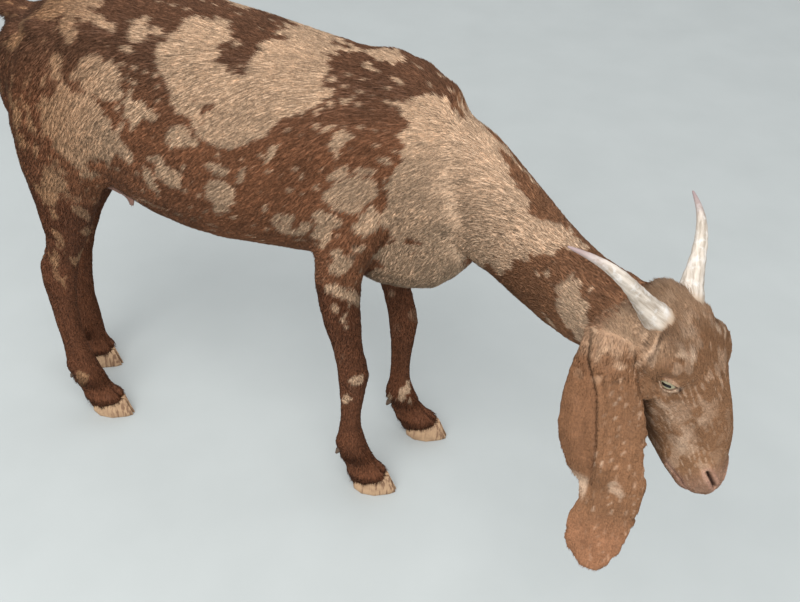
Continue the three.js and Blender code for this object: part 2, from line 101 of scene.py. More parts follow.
# How deep the coat is over the skin, in mm
COAT_DEPTH = {"trunk": 2.8, "neck": 2.8, "head": 1.2, "tail": 2.0, "udder": 0.4, "leg": 1.6, "ear": 0.8}
FOOT_DEPTH = 1.0
EAR_DEPTH = 0.4 * MM
# Heights between which a leg's coat thins to the foot's
FOOT_TOP = 0.16
FOOT_LOW = 0.06
# Legs have smaller faces below this height
FINE_LEG = 0.2
# The forms of a leg end at this height, and markings reach less far into the flesh below it, in mm
LOW_LEG = 0.42
SHALLOW = 14
DEEP = 60

# An ear's leaf: the voxels and rounds of smoothing that round it, and how much it is then drawn out
LEAF_VOXEL = 2.2 * MM
LEAF_ROUNDS = 150
LEAF_WIDEN = 0.05
LEAF_LENGTHEN = 0.01
# In mm: where along an ear its edges are measured, how near a point counts, and how far they are smoothed
RIM_MARKS = np.arange(0, 232, 2.0)
RIM_WINDOW = 2.6
RIM_BLUR = 9

# Eye: the ball's middle to the side of the head's frame and its radius, in mm
EYE_OUT = 43
EYE_RADIUS = 14
# The ways along and across the eye's slit, its half length, and its arches over and under, in mm
LID_LONG = np.array([0.6, 0, 0.8])
LID_SHORT = np.array([-0.8, 0, 0.6])
SLIT_HALF = 10.4
SLIT_OVER = 3.9
SLIT_UNDER = 4.3
# How far the lids stand off the ball, over and under it, and how far the skin is tucked in behind its face
LID_OVER = 3.0
LID_UNDER = 1.8
SLIT_DEPTH = 2.5

# The cornea's rise, and where on the ball it starts, as a share of the way out
CORNEA_RISE = 0.9 * MM
CORNEA_EDGE = 0.62

# Horns: rings along them, as turns of a wave in radians, their rise, and how far the grain is drawn out
RING_TURNS = 62
RING_RISE = 0.35 * MM
GRAIN_STRETCH = 0.12

# Claws: rounding, where along the claw the toe starts to narrow, how much, and how far the toes part
CLAW_BEVEL = 0.8 * MM
TOE_START = 0.4
TOE_NARROWING = 0.45
TOE_SPLAY = 2.4 * MM
# Share of a dewclaw's size that is left
DEWCLAW_SHARE = 0.72

# How much of the tan shows on the head and ears round the ears' roots
ROOT_TAN = 0.45

# Head frame: the way from between the eyes to the muzzle's tip dips this far below the nose line
MUZZLE_DIP = math.radians(23.8)


def srgb(red, green, blue):
    """A colour given in 0 to 255 display values, as the linear colour that shaders use."""
    values = np.array([red, green, blue]) / 255
    return np.where(values <= 0.04045, values / 12.92, ((values + 0.055) / 1.055) ** 2.4)


# Colours of the coat; some also serve for painted shade and highlights
DARK_BROWN = srgb(134, 90, 63)
LOIN_BROWN = srgb(100, 70, 52)
LEG_BROWN_AND_SHADE = srgb(106, 66, 44)
FACE_BROWN = srgb(126, 93, 67)
BROW_BROWN_AND_SHADE = srgb(110, 78, 54)
EAR_BROWN = srgb(122, 87, 61)
NECK_BROWN = srgb(132, 94, 68)
LOBE_BROWN = srgb(160, 112, 82)
LIP_PINK_AND_HIGHLIGHT = srgb(178, 138, 122)
TAN = srgb(186, 157, 130)
THIGH_TAN = srgb(160, 122, 90)
PALE = srgb(214, 190, 166)
BARE_PINK = srgb(160, 122, 108)
NOSE_PINK = srgb(150, 116, 98)
NOSTRIL_DARK_AND_SHADE = srgb(46, 28, 22)

# Colours of horns, claws, eyes and floor
HORN_DARK = srgb(138, 127, 114)
HORN_PALE = srgb(188, 179, 168)
HORN_CHALK = srgb(200, 199, 197)
HORN_TIP = srgb(134, 116, 116)
HORN_ROOT = srgb(158, 138, 118)
CLAW_PALE = srgb(172, 142, 112)
CLAW_DARK = srgb(104, 76, 58)
DEWCLAW_PALE = srgb(84, 68, 56)
DEWCLAW_DARK = srgb(52, 40, 32)
IRIS_DARK = srgb(112, 106, 84)
IRIS_PALE = srgb(152, 146, 120)
EYE_RIM = srgb(30, 20, 14)
PUPIL_BLACK = srgb(10, 8, 8)
FLOOR_DARK = srgb(158, 163, 163)
FLOOR_PALE = srgb(168, 173, 173)


# ---------------------------------------------------------------- small helpers
def active_only(obj):
    bpy.ops.object.select_all(action="DESELECT")
    bpy.context.view_layer.objects.active = obj
    obj.select_set(True)


def link(name, data):
    """A new object of the scene that holds this mesh, lamp or camera."""
    obj = bpy.data.objects.new(name, data)
    bpy.context.scene.collection.objects.link(obj)
    return obj


def merged_copy(node, name):
    """A CAD node's mesh in an object of its own, with its loose triangles joined up."""
    obj = link(name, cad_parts[node].data.copy())
    active_only(obj)
    bpy.ops.object.mode_set(mode="EDIT")
    bpy.ops.mesh.select_all(action="SELECT")
    bpy.ops.mesh.remove_doubles(threshold=MERGE)
    bpy.ops.object.mode_set(mode="OBJECT")
    return obj


def read(mesh, name):
    """The places ("co") or normals of a mesh's vertices."""
    values = np.empty(len(mesh.vertices) * 3, np.float32)
    mesh.vertices.foreach_get(name, values)
    return values.reshape(-1, 3).astype(float)


def write(items, field, values):
    items.foreach_set(field, values.astype(np.float32).ravel())


def write_places(mesh, places):
    write(mesh.vertices, "co", places)
    mesh.update()


def add_numbers(mesh, name, values):
    """An attribute that holds one number for each vertex."""
    write(mesh.attributes.new(name, "FLOAT", "POINT").data, "value", values)


def add_tones(mesh, colours):
    """The attribute "tone", which holds the coat's colour at each vertex."""
    tones = np.hstack([colours, np.ones((len(colours), 1))])
    write(mesh.attributes.new("tone", "FLOAT_COLOR", "POINT").data, "color", tones)


def corner_vertices(mesh):
    vertices = np.empty(len(mesh.loops), np.int32)
    mesh.loops.foreach_get("vertex_index", vertices)
    return vertices


def apply_modifier(obj, name, sort, **settings):
    modifier = obj.modifiers.new(name, sort)
    for setting, value in settings.items():
        setattr(modifier, setting, value)
    active_only(obj)
    bpy.ops.object.modifier_apply(modifier=modifier.name)


def unit(vectors):
    return vectors / np.maximum(np.linalg.norm(vectors, axis=-1, keepdims=True), 1e-9)


def smooth_step(low, high, values):
    t = np.clip((values - low) / (high - low), 0, 1)
    return t * t * (3 - 2 * t)


# Keeps nearly all of the noise between -1 and 1
WAVE_HEIGHT = 1.3


def waves(points, size, seed, count=7):
    """Soft lumpy noise from -1 to 1 whose lumps are about size metres across."""
    rng = np.random.default_rng(seed)
    ways = unit(rng.normal(size=(count, 3))) * rng.uniform(0.7, 1.5, (count, 1))
    phases = rng.uniform(0, 2 * math.pi, count)
    total = np.sin(points @ ways.T * (math.pi / size) + phases).sum(1)
    return total / math.sqrt(count) / WAVE_HEIGHT


def blend(colours, colour, amount):
    return colours + (colour - colours) * amount[:, None]


def box_place(node, fractions):
    """The place in a node's box that lies at these shares of its length, breadth and height."""
    low, high = (np.array(corner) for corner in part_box(node))
    return low + (high - low) * np.array(fractions)


def kind(node):
    """The kind of flesh a node is: both ears are ear, and all legs are leg."""
    if "leg" in node:
        return "leg"
    return "ear" if node.startswith("ear") else node


def by_kind(table, owners):
    """What a table says for the kind of flesh that each point lies on."""
    return np.array([table[kind(node)] for node in FLESH])[owners]


def kinds_of(owners):
    return np.array([kind(node) for node in FLESH])[owners]


def lies_on(owners, *nodes):
    """Whether each point lies on one of these nodes."""
    return np.isin(owners, [FLESH.index(node) for node in nodes])


# ---------------------------------------------------------------- head frame
def head_frame():
    """The point between the eyes, and the ways forward along the nose, left and out of the forehead."""
    right, left = (sum(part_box(f"eye_{side}"), Vector()) / 2 for side in SIDES)
    middle = (right + left) / 2
    leftward = (left - right).normalized()
    corners = read(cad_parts["head"].data, "co")
    tip = Vector(corners[np.argmax(np.linalg.norm(corners - np.array(middle), axis=1))])
    dip = tip - middle
    dip = (dip - leftward * dip.dot(leftward)).normalized()
    rise = dip.cross(leftward)
    forward = dip * math.cos(MUZZLE_DIP) + rise * math.sin(MUZZLE_DIP)
    upward = rise * math.cos(MUZZLE_DIP) - dip * math.sin(MUZZLE_DIP)
    return np.array(middle), np.array([forward, leftward, upward])


HEAD_AT, HEAD_AXES = head_frame()


def in_head(points):
    """Points in the head's own frame, in mm."""
    return (points - HEAD_AT) @ HEAD_AXES.T / MM


def from_head(points):
    """Places in metres of points given in the head's own frame."""
    return HEAD_AT + np.asarray(points, float) * MM @ HEAD_AXES


# ---------------------------------------------------------------- CAD surface lookups
def flesh_tree():
    """A lookup of the flesh's faces, and which node each face belongs to."""
    corners, faces, owners, start = [], [], [], 0
    for index, node in enumerate(FLESH):
        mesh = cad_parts[node].data
        corners.append(read(mesh, "co"))
        faces += [[start + v for v in face.vertices] for face in mesh.polygons]
        owners += [index] * len(mesh.polygons)
        start += len(mesh.vertices)
    tree = BVHTree.FromPolygons([Vector(c) for c in np.concatenate(corners)], faces)
    return tree, np.array(owners)


FLESH_TREE, FACE_OWNER = flesh_tree()


def node_tree(node):
    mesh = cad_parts[node].data
    corners = [Vector(c) for c in read(mesh, "co")]
    return BVHTree.FromPolygons(corners, [list(face.vertices) for face in mesh.polygons])


NODE_TREES = {node: node_tree(node) for node in FLESH}


def nearest_flesh(points):
    """The index in FLESH of the node whose surface is nearest each point."""
    return FACE_OWNER[[FLESH_TREE.find_nearest(Vector(p))[2] for p in points]]


# ---------------------------------------------------------------- skin
def grow(obj, distance):
    """Moves each vertex out along its normal."""
    places = read(obj.data, "co") + read(obj.data, "normal") * distance
    write_places(obj.data, places)


def horn_root(side):
    """The middle of a horn's root, where it comes out of the skull."""
    corners = read(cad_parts[f"horn_{side}"].data, "co")
    reach = np.linalg.norm(corners - HEAD_AT, axis=1)
    return corners[reach < np.quantile(reach, HORN_ROOT_SHARE)].mean(0)


def plug(side):
    """A ball that closes the hole in the head where a horn comes out."""
    bpy.ops.object.select_all(action="DESELECT")
    bpy.ops.mesh.primitive_ico_sphere_add(subdivisions=3, radius=PLUG_RADIUS, location=horn_root(side))
    bpy.ops.object.transform_apply(location=True)
    return bpy.context.object


def flesh_union():
    """All the flesh, swollen a little so that its parts overlap, made into one closed mesh."""
    parts = [merged_copy(node, f"flesh_{node}") for node in FLESH]
    parts += [merged_copy(f"eye_{side}", f"flesh_eye_{side}") for side in SIDES]
    for part in parts:
        grow(part, THICKEN_EAR if "_ear_" in part.name else CLOSE_GAPS)
    parts += [plug(side) for side in SIDES]
    active_only(parts[0])
    for part in parts:
        part.select_set(True)
    bpy.ops.object.join()
    skin = bpy.context.object
    skin.name = "skin"
    apply_modifier(skin, "one skin", "REMESH", mode="VOXEL", voxel_size=VOXEL)
    return skin


def neighbour_mean(mesh):
    """A function that gives each vertex the mean of its neighbours' values."""
    edges = np.empty(len(mesh.edges) * 2, np.int32)
    mesh.edges.foreach_get("vertices", edges)
    ends = edges.reshape(-1, 2)
    start, other = np.concatenate([ends, ends[:, ::-1]]).T
    count = len(mesh.vertices)
    share = 1 / np.maximum(np.bincount(start, minlength=count), 1)

    def mean(values):
        columns = [np.bincount(start, values[other, k], count) * share for k in range(values.shape[1])]
        return np.stack(columns, 1)
    return mean


def relax(mesh, weight, rounds, pulls=(RELAX_IN, RELAX_OUT)):
    """Smooths without shrinking: each vertex goes towards its neighbours, then back out again."""
    mean = neighbour_mean(mesh)
    places = read(mesh, "co")
    for _ in range(rounds):
        for pull in pulls:
            places += (mean(places) - places) * weight[:, None] * pull
    write_places(mesh, places)


def spread(mesh, values, rounds):
    """Values at the vertices, blended into each other over a few vertices' distance."""
    mean = neighbour_mean(mesh)
    values = values[:, None]
    for _ in range(rounds):
        values = mean(values)
    return values[:, 0]


def subdivide_where(obj, wanted):
    """Cuts each face whose every corner is wanted into four."""
    mesh = obj.data
    mesh.polygons.foreach_set("select", np.zeros(len(mesh.polygons), bool))
    mesh.edges.foreach_set("select", np.zeros(len(mesh.edges), bool))
    mesh.vertices.foreach_set("select", wanted)
    chosen = [all(wanted[v] for v in face.vertices) for face in mesh.polygons]
    mesh.polygons.foreach_set("select", np.array(chosen))
    active_only(obj)
    bpy.ops.object.mode_set(mode="EDIT")
    bpy.ops.mesh.select_mode(type="FACE")
    bpy.ops.mesh.subdivide(number_cuts=1, smoothness=0)
    bpy.ops.mesh.select_mode(type="VERT")
    bpy.ops.object.mode_set(mode="OBJECT")


def near_any(points, centres, reach):
    """Whether each point is within reach of any of the centres."""
    return np.min([np.linalg.norm(points - np.array(c), axis=1) for c in centres], axis=0) < reach


def both_sides(points):
    """Points of the right side of the head, and their mirror images on the left."""
    return [(x, side * -y, z) for side in (1, -1) for x, y, z in points]


# Lines on the right side of the face, in head mm
NOSTRIL = [(121, -22, -20), (134, -16, -22), (145, -8, -29)]
MOUTH = [(100, -31, -66), (122, -27, -61), (141, -16, -63), (148, 0, -64)]
EAR_GAP = [(-56, -60, -4), (-22, -66, -20)]
TEMPLE = [(-56, -47, 14), (-38, -58, -1), (-20, -65, -18)]
# Places on the face, in head mm, and how far round them the faces are made smaller or smoother
EYE_ZONE = both_sides([(1, -54, 1)])
MUZZLE_ZONE = both_sides([(116, -26, -40), (134, -16, -40)])
NOSTRIL_ZONE = both_sides([(124, -20, -21), (138, -13, -25)])
UNDER_EARS = both_sides([(14, -57, -30)])
EYE_REACH = 40
MUZZLE_REACH = 34
LID_REACH = 19
NOSTRIL_REACH = 14
UNDER_EAR_REACH = 30


def refine(obj):
    """Smaller faces on the feet, head and ears, and smaller again round the eyes, nostrils and mouth."""
    places = read(obj.data, "co")
    kinds = kinds_of(nearest_flesh(places))
    subdivide_where(obj, np.isin(kinds, ("head", "ear")) | ((kinds == "leg") & (places[:, 2] < FINE_LEG)))
    heads = in_head(read(obj.data, "co"))
    subdivide_where(obj, near_any(heads, EYE_ZONE, EYE_REACH) | near_any(heads, MUZZLE_ZONE, MUZZLE_REACH))
    heads = in_head(read(obj.data, "co"))
    subdivide_where(obj, near_any(heads, EYE_ZONE, LID_REACH) | near_any(heads, NOSTRIL_ZONE, NOSTRIL_REACH))


def coat_depth(mesh, owners):
    """How far the skin lies inside the flesh at each vertex, in metres."""
    depths = by_kind(COAT_DEPTH, owners)
    foot = smooth_step(FOOT_TOP, FOOT_LOW, read(mesh, "co")[:, 2])
    depths = depths * (1 - foot) + FOOT_DEPTH * foot
    return spread(mesh, np.where(lies_on(owners, *EARS), 0, depths * MM + CLOSE_GAPS), 12)


def flesh_line(line, side):
    """A line on one side of the head, in head mm, with its points moved onto the flesh."""
    spots = from_head(np.array(line) * (1, -side, 1))
    return in_head(np.array([FLESH_TREE.find_nearest(Vector(spot))[0] for spot in spots]))


def line_reach(points, line):
    """How far each point is from a line of points."""
    distance = np.full(len(points), np.inf)
    for start, end in zip(line[:-1], line[1:]):
        way = end - start
        along = np.clip((points - start) @ way / (way @ way), 0, 1)
        distance = np.minimum(distance, np.linalg.norm(points - start - along[:, None] * way, axis=1))
    return distance


def ring(reach, radius, width, rise):
    """A soft ridge, or a furrow where the rise is below 0, at a reach equal to the radius."""
    return rise * np.exp(-((reach - radius) / width) ** 2)


def bell(along, across, place, size):
    """1 at a place by the eye, fading over a size along and a size across the slit, in mm."""
    return np.exp(-((along - place[0]) / size[0]) ** 2 - ((across - place[1]) / size[1]) ** 2)


# The mound round the eye, in mm: how far its middle is over the slit, its height, the reaches where it ends
# and is full, and the furrow at its edge as reach, width and rise
ORBIT_MIDDLE = 16
ORBIT_RISE = 2.4
ORBIT_EDGES = (28, 12)
ORBIT_FURROW = (28, 5.0, -0.9)
# Creases of the lids: how far outside the slit, width, rise
UPPER_CREASE = (4.6, 1.3, -1.4)
LOWER_CREASES = [(4.0, 1.2, -1.0), (8.0, 1.6, -0.7)]
# The hollow over the eye and the bag in it: place and size along and across the slit, and rise
HOLLOW = ((1, 27), (6, 4.5))
HOLLOW_RISE = -3.0
BAG = ((-6, 15), (9, 4))
BAG_RISE = 1.8
# How far in from the ball's middle its forms end
ORBIT_LIMIT = -25


def orbit_folds(heads, side):
    """The socket's round mound, the creases of its lids, the hollow over the eye and the bag in it, in mm."""
    along, across, off = eye_coordinates(heads, side)
    outside = -lid_opening(along, across)
    reach = np.hypot(along, across - ORBIT_MIDDLE)
    push = ORBIT_RISE * smooth_step(*ORBIT_EDGES, reach) + ring(reach, *ORBIT_FURROW)
    over = smooth_step(-0.5, 1.5, across)
    push += ring(outside, *UPPER_CREASE) * over
    for crease in LOWER_CREASES:
        push += ring(outside, *crease) * (1 - over)
    push += BAG_RISE * bell(along, across, *BAG) + HOLLOW_RISE * bell(along, across, *HOLLOW)
    return push * (off[:, 1] * side > ORBIT_LIMIT)


FOLDS = [
    # line on the right side of the head in mm, width, depth (a rise where negative)
    (NOSTRIL, 2.3, 8),
    (EAR_GAP, 7, 2.5),
    ([(0, -60, -34), (26, -50, -46), (52, -40, -52)], 13, -3.5),
    ([(118, -25, -13), (132, -19, -14), (144, -9, -19)], 5, -2.4),
    ([(120, -26, -28), (134, -20, -31), (145, -10, -37)], 4.5, -1.6),
    (MOUTH, 1.7, 3.4),
    ([(104, -31, -57), (122, -27, -53), (140, -16, -54)], 5, -1.2),
    ([(104, -29, -73), (122, -24, -70), (138, -10, -71)], 5, -1.2),
    (TEMPLE, 3.6, 3.6),
    ([(12, -50, 5), (22, -46, 2), (34, -42, -3)], 3, 1.8),
    ([(20, -46, -20), (45, -41, -26), (75, -36, -30)], 7, -1.8),
    ([(30, -42, -6), (60, -33, -10), (90, -28, -14)], 8, 1.8),
    ([(-30, -14, 33), (-5, -17, 30), (25, -16, 22)], 6, -1.2),
    ([(148, 0, -24), (150, 0, -40), (149, 0, -56)], 2.5, 1.4),
]


# Leg forms: legs, lowest and highest place in m, angle from the front and spread in degrees, push in mm
LEG_FORMS = [
    ("foreleg", 0.118, 0.235, 105, 22, -2.2),
    ("foreleg", 0.245, 0.285, 0, 45, 1.6),
    ("foreleg", 0.262, 0.285, 180, 35, 1.4),
    ("hindleg", 0.118, 0.262, 105, 22, -2.2),
    ("hindleg", 0.305, 0.400, 125, 26, -4.5),
    ("leg", 0.080, 0.106, 160, 70, 2.2),
    ("leg", 0.054, 0.072, 90, 60, -1.4),
]


def foot_frame(leg):
    """The middle of a foot at the ground, the top of its claws, and its ways forward and left."""
    claws = [n for n in CLAWS if n.startswith(f"claw_{leg}")]
    middles = {n: sum(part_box(n), Vector()) / 2 for n in claws}
    centre = np.array(sum(middles.values(), Vector()) / len(claws)) * (1, 1, 0)
    top = max(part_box(n)[1].z for n in claws)
    outer, inner = (np.array(middles[n]) for n in sorted(claws, reverse=True))
    left = unit((outer - inner) * (1, 1, 0))
    left = left * np.sign(left[1])
    return centre, top, np.cross(left, (0, 0, 1)), left


FEET = {leg: foot_frame(leg) for leg in LEGS}


SHAFT_LEVELS = 30
SHAFT_ENDS = 5 * MM
SHAFT_SLICE = 9 * MM


def shaft(points):
    """The middle line of a leg: heights, and the middle of the leg's points at each height."""
    heights = points[:, 2]
    levels = np.linspace(heights.min() + SHAFT_ENDS, heights.max() - SHAFT_ENDS, SHAFT_LEVELS)
    slices = [points[np.abs(heights - level) < SHAFT_SLICE] for level in levels]
    return levels, np.array([(near.min(0) + near.max(0)) / 2 for near in slices])


FORM_FADE = 0.012
# Depth of the cleft between the claws, in front and behind, its width, and the heights over the
# claws' tops where it ends and is full; and the coronet's height over them, spread and rise, in mm
CLEFT_FRONT = 5.5
CLEFT_REAR = 3.5
CLEFT_WIDTH = 3.4
CLEFT_HEIGHTS = (34, 16)
CORONET = (4, 6, 1.8)


def leg_push(points, leg):
    """Tendons, joints and the cleft between the claws of one leg, as a push in mm."""
    centre, top, forward, left = FEET[leg]
    levels, middles = shaft(points)
    height = points[:, 2]
    middle = np.stack([np.interp(height, levels, middles[:, k]) for k in range(2)], 1)
    off = points[:, :2] - middle
    angle = np.degrees(np.abs(np.arctan2(off @ left[:2], off @ forward[:2])))
    push = np.zeros(len(points))
    for name, low, high, turn, wide, amount in LEG_FORMS:
        if name not in leg:
            continue
        rising = smooth_step(low - FORM_FADE, low + FORM_FADE, height)
        falling = smooth_step(high + FORM_FADE, high - FORM_FADE, height)
        push += amount * (rising * falling) * np.exp(-((angle - turn) / wide) ** 2)
    foot = (points - centre) / MM
    over_claws = foot[:, 2] - top / MM
    cleft = np.exp(-(foot @ left / CLEFT_WIDTH) ** 2) * smooth_step(*CLEFT_HEIGHTS, over_claws)
    push -= cleft * np.where(foot @ forward > 0, CLEFT_FRONT, CLEFT_REAR)
    return push + ring(over_claws, *CORONET) * (1 - cleft)


def sculpt(places, normals, owners):
    """Face folds and leg forms: returns the places moved along their normals."""
    heads = in_head(places)
    push = np.zeros(len(places))
    for leg in LEGS:
        on_leg = lies_on(owners, leg) & (places[:, 2] < LOW_LEG)
        push[on_leg] += leg_push(places[on_leg], leg)
    for side in (-1, 1):
        push += orbit_folds(heads, side)
        for line, width, depth in FOLDS:
            push -= ring(line_reach(heads, flesh_line(line, side)), 0, width, depth)
    return places + normals * push[:, None] * MM


# Ear: lines as (mm from the root, mm forward of the ear's middle)
EAR_FOLD = [(-45, -60), (0, -52), (38, -32), (100, -18), (150, -16)]
EAR_CREASES = [
    # line, width, rise
    ([(-30, -15), (28, 4), (46, 17)], 4.5, -1.8),
    ([(14, -33), (50, -20), (110, -11)], 3.2, -2.2),
    ([(16, -24), (60, -9), (118, -2)], 4.0, 1.8),
    ([(18, -15), (66, 2), (112, 9)], 3.0, -2.0),
    ([(60, 18), (100, 20), (140, 22)], 7.0, 2.0),
    ([(120, -2), (165, -4), (215, 0)], 8.0, 2.8),
    ([(140, 9), (175, 10), (205, 16)], 5.0, -2.0),
    ([(60, -60), (90, -56), (125, -44)], 8.0, 2.4),
    ([(30, -58), (70, -46), (115, -32)], 6.0, -1.8),
]
# How far forward the ear's front edge reaches, as (mm from the root, mm forward)
EAR_FRONT = [(-60, -12), (0, -2), (33, 14), (90, 60)]
# How far the leaf rises in front of the fold and sinks behind it, and half the fold's width, in mm
FOLD_RISE = 5.5
FOLD_SINK = 4.0
FOLD_HALF = 3.6


def ear_frame(ear):
    """An ear's root, and its ways along to the tip, across to its front edge and out of its leaf."""
    corners = read(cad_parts[ear].data, "co")
    order = np.argsort(np.linalg.norm(corners - HEAD_AT, axis=1))
    few = len(corners) // 6
    root = corners[order[:few]].mean(0)
    along = unit(corners[order[-few:]].mean(0) - root)
    out = np.linalg.svd(corners - corners.mean(0), full_matrices=False)[2][2]
    out = unit(out - along * (out @ along))
    out = out * np.sign(out @ (corners.mean(0) - HEAD_AT))
    across = np.cross(along, out)
    across = across * np.sign(across @ HEAD_AXES[0])
    return root, np.array([along, across, out])


EAR_FRAMES = {ear: ear_frame(ear) for ear in EARS}


def in_ear(points, ear):
    """Points in an ear's own frame, in mm."""
    root, axes = EAR_FRAMES[ear]
    return (points - root) @ axes.T / MM


def past(flat, line):
    """How far each point of a flat ear is forward of a line down it, in mm."""
    line = np.array(line, float)
    return flat[:, 1] - np.interp(flat[:, 0], line[:, 0], line[:, 1])


def fold_ears(places, owners):
    """The ear's front flap lies over its rear flap, with creases and ridges down its length."""
    for ear in EARS:
        on_ear = lies_on(owners, ear)
        across, out = EAR_FRAMES[ear][1][1:]
        over = np.maximum(past(in_ear(places[on_ear], ear), EAR_FRONT) + 3, 0)
        places[on_ear] -= across * (over * over / (over + 6))[:, None] * MM
        flat = in_ear(places[on_ear], ear)[:, :2]
        front = past(flat, EAR_FOLD)
        fade = smooth_step(158, 128, flat[:, 0]) * smooth_step(-50, -30, flat[:, 0])
        raised = smooth_step(-FOLD_HALF, FOLD_HALF, front) * np.exp(-(np.maximum(front, 0) / 26) ** 2)
        sunk = smooth_step(FOLD_HALF, -FOLD_HALF, front) * np.exp(-np.maximum(-front, 0) / 18)
        rise = fade * (FOLD_RISE * raised - FOLD_SINK * sunk)
        for line, width, height in EAR_CREASES:
            rise += ring(line_reach(flat, np.array(line, float)), 0, width, height)
        rise += 0.5 * waves(places[on_ear], 22 * MM, 81)
        places[on_ear] += out * rise[:, None] * MM
    return places


def eye_coordinates(heads, side):
    """How far each point is along and across the eye's slit, and its way from the ball's middle, in mm."""
    off = heads - (0, side * EYE_OUT, 0)
    return off @ LID_LONG, off @ LID_SHORT, off


def lid_opening(along, across):
    """Above 0 inside the eye's opening: how many mm inside its almond outline a point is."""
    arch = np.where(across > 0, SLIT_OVER, SLIT_UNDER)
    return arch * (1 - (along / SLIT_HALF) ** 2) - np.abs(across)


def shape_lids(places):
    """Lids that lie on the eyeball round an open slit, and skin tucked behind the ball inside it."""
    heads = in_head(places)
    for side in (-1, 1):
        along, across, off = eye_coordinates(heads, side)
        reach = np.linalg.norm(off, axis=1)
        outward = off[:, 1] * side / np.maximum(reach, 1e-6)
        axis_distance = np.hypot(along, across)
        facing = (outward > 0.2) & (axis_distance < 26)
        lid = EYE_RADIUS + np.where(across > 0, LID_OVER, LID_UNDER)
        inside = smooth_step(-0.6, 0.6, lid_opening(along, across))
        over_ball = smooth_step(22, 11, axis_distance)
        target = reach * (1 - over_ball) + lid * over_ball
        target = target * (1 - inside) + (EYE_RADIUS - SLIT_DEPTH) * inside
        scale = np.where(facing, target / np.maximum(reach, 1e-6), 1)
        heads = np.where(facing[:, None], heads - off + off * scale[:, None], heads)
    return from_head(heads)


def rounded_leaf(ear):
    """A lookup of an ear's leaf with its facets smoothed away, and its points in the ear's own frame."""
    leaf = merged_copy(ear, f"{ear}_leaf")
    apply_modifier(leaf, "even", "REMESH", mode="VOXEL", voxel_size=LEAF_VOXEL)
    relax(leaf.data, np.ones(len(leaf.data.vertices)), LEAF_ROUNDS)
    places = read(leaf.data, "co")
    along, across, _ = EAR_FRAMES[ear][1]
    off = places - places.mean(0)
    places += np.outer(off @ across, across) * LEAF_WIDEN + np.outer(off @ along, along) * LEAF_LENGTHEN
    faces = [list(face.vertices) for face in leaf.data.polygons]
    bpy.data.objects.remove(leaf)
    return BVHTree.FromPolygons([Vector(p) for p in places], faces), in_ear(places, ear)


def rim_line(flat, sign):
    """How far an ear reaches across, towards one side, at each mark along it."""
    near = [flat[np.abs(flat[:, 0] - mark) < RIM_WINDOW, 1] for mark in RIM_MARKS]
    return np.array([sign * (sign * row).max() for row in near])


def true_rim(flat, leaf):
    """How far, in mm across an ear, its skin's edges must go to run as smoothly as its leaf's edges."""
    blur = np.exp(-((RIM_MARKS[:, None] - RIM_MARKS[None]) / RIM_BLUR) ** 2)
    shift = np.zeros(len(flat))
    fade = smooth_step(0, 20, flat[:, 0]) * smooth_step(230, 214, flat[:, 0])
    for sign in (1, -1):
        wanted = blur @ rim_line(leaf, sign) / blur.sum(1)
        present = rim_line(flat, sign)
        inward = np.abs(flat[:, 1] - np.interp(flat[:, 0], RIM_MARKS, present))
        gap = np.interp(flat[:, 0], RIM_MARKS, wanted - present)
        shift += gap * smooth_step(18, 3, inward) * fade
    return shift


def settle_ears(mesh, owners):
    """Draws each ear's swollen skin back onto the thin leaf of the ear."""
    places = read(mesh, "co")
    for ear in EARS:
        weight = spread(mesh, lies_on(owners, ear) * 1.0, 4)
        moving = np.flatnonzero(weight > 0.02)
        tree, leaf = rounded_leaf(ear)
        for i in moving:
            spot = np.array(tree.find_nearest(Vector(places[i]))[0])
            off = places[i] - spot
            inside = spot - off / max(np.linalg.norm(off), 1e-9) * EAR_DEPTH
            places[i] += (inside - places[i]) * min(1.0, 1.15 * weight[i])
        shift = true_rim(in_ear(places[moving], ear), leaf) * MM
        places[moving] += np.outer(shift, EAR_FRAMES[ear][1][1])
    write_places(mesh, places)


def ear_seam(mesh, owners):
    """1 at the vertices where an ear's skin meets the head's or the neck's."""
    near = spread(mesh, lies_on(owners, *EARS) * 1.0, 1)
    return ((near > 0.01) & (near < 0.99)) * 1.0


def smooth_ears(mesh, owners):
    """Smooths the ears with the head, then the ears more, then the cheeks under them."""
    ears = EAR_EASE * spread(mesh, lies_on(owners, *EARS) * 1.0, 3)
    relax(mesh, np.maximum(ears, HEAD_EASE * lies_on(owners, "head")), HEAD_ROUNDS)
    relax(mesh, ears, EAR_ROUNDS)
    heads = in_head(read(mesh, "co"))
    under = np.max([ball(heads, spot, UNDER_EAR_REACH) for spot in UNDER_EARS], axis=0)
    relax(mesh, under, UNDER_EAR_ROUNDS, pulls=(RELAX_IN,))


def build_skin():
    """The skin, the node that each of its vertices lies on, and their places before folds and forms."""
    skin = flesh_union()
    mesh = skin.data
    relax(mesh, spread(mesh, by_kind(RELAX, nearest_flesh(read(mesh, "co"))), 8), RELAX_ROUNDS)
    refine(skin)
    owners = nearest_flesh(read(mesh, "co"))
    settle_ears(mesh, owners)
    smooth_ears(mesh, owners)
    places, normals = read(mesh, "co"), read(mesh, "normal")
    write_places(mesh, places - normals * coat_depth(mesh, owners)[:, None])
    flat = read(mesh, "co")
    write_places(mesh, fold_ears(flat.copy(), owners))
    seam = spread(mesh, ear_seam(mesh, owners), 7)
    relax(mesh, EAR_EASE * smooth_step(0.02, 0.2, seam), EAR_SEAM_ROUNDS)
    write_places(mesh, sculpt(read(mesh, "co"), read(mesh, "normal"), owners))
    write_places(mesh, shape_lids(read(mesh, "co")))
    active_only(skin)
    bpy.ops.object.shade_smooth()
    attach(skin, "root")
    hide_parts(*FLESH)
    return skin, owners, flat
